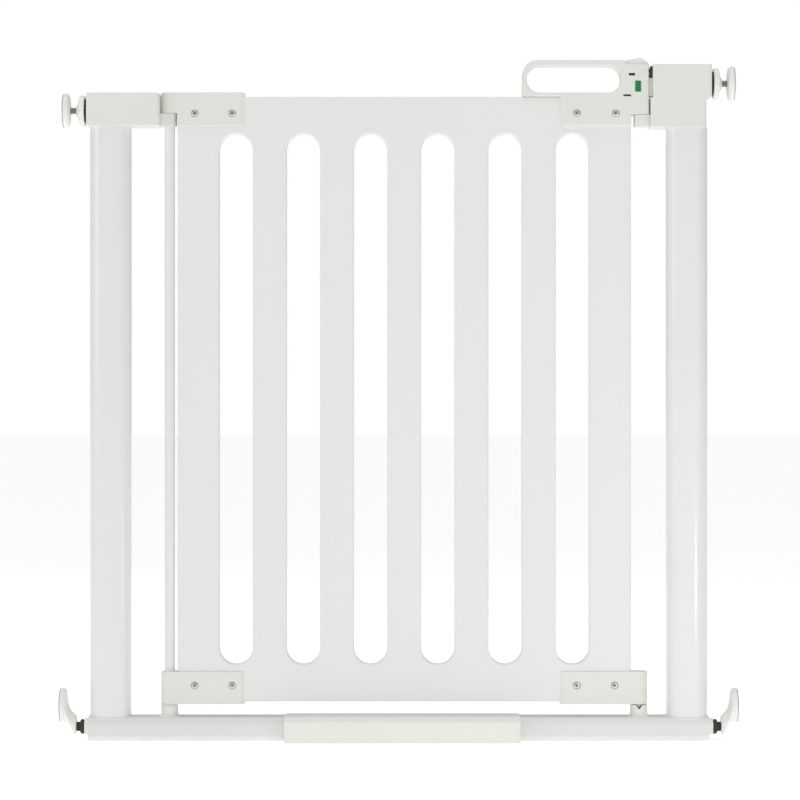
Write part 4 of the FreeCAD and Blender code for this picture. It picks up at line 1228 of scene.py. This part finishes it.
@dataclass
class SteelFrame:
    """The U-shaped frame: base tube, posts, weld beads, housings, ramp, rod, foot and cup."""

    coated: tuple[str, ...] = ("left_post", "right_post", "hinge_rod")
    cases: tuple[str, ...] = ("hinge_housing", "latch_housing")
    trims: tuple[str, ...] = ("base_collar_left", "base_collar_right", "hinge_foot", "catch_cup")
    bead: float = 1.3 * MM
    ripple: float = 0.10
    ripple_steps: int = 8
    post_corner: float = 16.0 * MM
    bar_shoulder: float = 8.0 * MM

    def make_weld(self, side: Side) -> bpy.types.Object:
        """Lay the weld bead where a post meets the base tube.

        Args:
            side: The end of the gate.

        Returns:
            The bead.
        """
        low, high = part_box(f"{side.word}_post")
        top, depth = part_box("base_bar")[1].z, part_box("base_bar")[1].y
        middle, half = (low.x + high.x) / 2, (high.x - low.x) / 2
        corner, shoulder = self.post_corner, self.bar_shoulder
        box_across, box_back = half - corner, high.y - corner
        steps, around = 160, 8
        path = []
        for index in range(steps):
            angle = math.tau * index / steps
            across, back = math.cos(angle), math.sin(angle)
            point = Vector((math.copysign(box_across, across), math.copysign(box_back, back)))
            point += Vector((across, back)) * corner
            beyond = max(0.0, abs(point.y) - (depth - shoulder))
            drop = shoulder - math.sqrt(max(0.0, shoulder**2 - beyond**2))
            path.append(Vector((middle + point.x, point.y, top - drop)))
        shape = Shape(f"{side.word}_post_weld")
        rings = []
        for index, centre in enumerate(path):
            ahead = (path[(index + 1) % steps] - path[index - 1]).normalized()
            outward = ahead.cross(UP).normalized()
            thick = self.bead * (1.0 + self.ripple * math.sin(index * math.tau / self.ripple_steps))
            ring = []
            for turn in range(around):
                angle = math.tau * turn / around
                offset = outward * math.cos(angle) + UP * math.sin(angle)
                ring.append(centre + offset * thick)
            rings.append(ring)
        shape.loft(rings, closed=True)
        piece = dress(shape.finish(60.0), Finish.STEEL_COAT)
        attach(piece, "frame")
        LOG.info("%s on frame", piece.name)
        return piece

    def build(self) -> None:
        """Dress the frame's nodes and lay the welds."""
        dress_nodes(self.coated, Finish.STEEL_COAT)
        dress_nodes(self.cases, Finish.CASE_PLASTIC)
        dress_nodes(self.trims, Finish.TRIM_PLASTIC)
        # The base tube wears the darker copy of the coat, painted shade.
        dress_nodes(("base_bar",), Finish.SHADED_BASE_COAT)
        dress_nodes(("threshold_ramp",), Finish.RAMP_PLASTIC)
        dress_nodes(("strike_liner",), Finish.BLACK_PLASTIC)
        for side in Side:
            self.make_weld(side)


@dataclass
class Leaf:
    """The swinging leaf: slotted board, corner brackets, handle, latch and its indicator."""

    cases: tuple[str, ...] = (
        "lower_hinge_bracket",
        "upper_hinge_bracket",
        "lower_catch_bracket",
        "latch_case_front",
        "latch_case_back",
    )
    trims: tuple[str, ...] = ("catch_tooth", "upper_hinge_bush", "lower_hinge_bush", "thumb_button")
    # Left, low, right and high edge of each slot, in millimetres.
    inserts: tuple[tuple[float, float, float, float], ...] = (
        (270.7, 781.6, 277.9, 784.5),
        (264.3, 757.3, 273.1, 759.4),
    )

    def make_inserts(self) -> None:
        """Set a black plate into each slot of the latch case, front and back."""
        sunk, thick = 0.9 * MM, 1.2 * MM
        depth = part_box("latch_case_back")[1].y - sunk
        for number, (left, low, right, high) in enumerate(self.inserts, 1):
            for side, word in ((-1, "front"), (1, "back")):
                shape = Shape(f"{word}_slot_insert_{number}")
                corners = [(left, low), (right, low), (right, high), (left, high)]
                outer = [Vector((across * MM, side * depth, up * MM)) for across, up in corners]
                shape.loft([[point - Vector((0, side * thick, 0)) for point in outer], outer])
                piece = dress(shape.finish(), Finish.BLACK_PLASTIC)
                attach(piece, "leaf")
                LOG.info("%s on leaf", piece.name)

    def build(self) -> None:
        """Dress the leaf's nodes."""
        dress_nodes(("leaf_panel",), Finish.BOARD_LACQUER)
        dress_nodes(self.cases, Finish.CASE_PLASTIC)
        dress_nodes(self.trims, Finish.TRIM_PLASTIC)
        dress_nodes(("latch_bolt",), Finish.LIT_BOLT_PLASTIC)
        dress_nodes(("window_front", "window_back"), Finish.GREEN_LENS)
        dress_nodes(("indicator_front", "indicator_back"), Finish.SIGNAL_GREEN)
        dress_nodes(("latch_spring",), Finish.ZINC)
        self.make_inserts()
        LOG.info("leaf dressed")


# ---- studio


@dataclass
class Studio:
    """Pale seamless floor, soft tent light and the camera."""

    eye_across: float = 1.5 * MM
    eye_away: float = 3.5
    eye_level: float = 0.400
    lens: float = 133.5
    sensor: float = 36.0
    tent: float = 0.44
    tent_ends: float = 0.20
    overhead: float = 0.85
    left_share: float = 0.2
    ends_share: float = 0.85
    below_share: float = 0.35
    floor_reach: float = 30.0
    floor_drop: float = 0.5 * MM

    def make_floor(self) -> None:
        """Lay a round pale floor that fades into the tent."""
        shape = Shape("studio_floor")
        segments = 64
        angles = [math.tau * index / segments for index in range(segments)]
        ring = [Vector((math.cos(angle), math.sin(angle), 0)) * self.floor_reach for angle in angles]
        shape.cap(shape.ring(ring))
        floor = shape.finish()
        floor.location.z = -self.floor_drop
        floor.data.materials.append(StudioPaper().make())

    def make_tent(self) -> None:
        """Light everything softly from a white tent that is dimmer at the two ends of the gate."""
        world = bpy.data.worlds.new("white_tent")
        net = Net(world, "ShaderNodeBackground", "ShaderNodeOutputWorld")
        across, _, up = net.split(net.add("ShaderNodeTexCoord", output="Generated"))
        ends = across.eased(0.15, 0.95) + across.eased(-0.15, -0.95) * self.left_share
        below = up.eased(0.1, -0.6)
        above = up.eased(0.55, 0.95)
        sides, dim, bright = (deeper(WHITE, share) for share in (self.tent, self.tent_ends, self.overhead))
        glow = net.blend(ends * self.ends_share, sides, dim)
        glow = net.blend(below * self.below_share, glow, dim)
        glow = net.blend(above, glow, bright)
        seen = net.add("ShaderNodeLightPath", output="Is Camera Ray")
        net.set(Color=net.blend(seen, glow, WHITE))
        bpy.context.scene.world = world

    def make_lamp(self, name: str, place: Vector, target: Vector, size: float, power: float) -> None:
        """Hang one soft lamp.

        Args:
            name: The lamp's name.
            place: Where it hangs.
            target: What it points at.
            size: Width of its square face.
            power: Its power in watts.
        """
        lamp = bpy.data.lights.new(name, "AREA")
        lamp.shape = "SQUARE"
        lamp.size = size
        lamp.energy = power
        holder = bpy.data.objects.new(name, lamp)
        holder.location = place
        holder.rotation_euler = (target - place).to_track_quat("-Z", "Y").to_euler()
        bpy.context.scene.collection.objects.link(holder)

    def make_camera(self) -> None:
        """Stand the camera square to the gate."""
        camera = bpy.data.cameras.new("eye")
        camera.lens = self.lens
        camera.sensor_width = self.sensor
        holder = bpy.data.objects.new("eye", camera)
        holder.location = (self.eye_across, -self.eye_away, self.eye_level)
        holder.rotation_euler = (math.radians(90), 0, 0)
        bpy.context.scene.collection.objects.link(holder)
        bpy.context.scene.camera = holder

    def build(self) -> None:
        """Set up the camera, the floor, the tent and the lamps."""
        bpy.context.scene.view_settings.view_transform = "Standard"
        self.make_camera()
        self.make_floor()
        self.make_tent()
        middle = (CAD_BOX[0] + CAD_BOX[1]) / 2
        self.make_lamp("window_right", Vector((1.6, -2.4, 1.5)), middle, 1.3, 3.5)
        self.make_lamp("window_back", Vector((-1.5, 2.4, 1.7)), middle, 1.3, 4.5)
        self.make_lamp("top_soft", Vector((0.0, -0.4, 2.6)), middle, 1.6, 9.0)
        self.make_lamp("low_right", Vector((0.60, -0.85, 0.14)), Vector((0.33, 0.0, 0.03)), 0.16, 0.7)
        self.make_lamp("left_side", Vector((-2.2, -1.2, 0.9)), Vector((-0.34, 0.0, 0.4)), 0.9, 5.0)


def main() -> None:
    """Build the gate's pieces in order and set up the studio."""
    logging.basicConfig(level=logging.INFO, format="%(message)s")
    SteelFrame().build()
    Leaf().build()
    BracketScrews().build()
    for side in Side:
        TopSpindle(side).build()
        BottomSpindle(side).build()
    Studio().build()


if __name__ == "__main__":
    main()
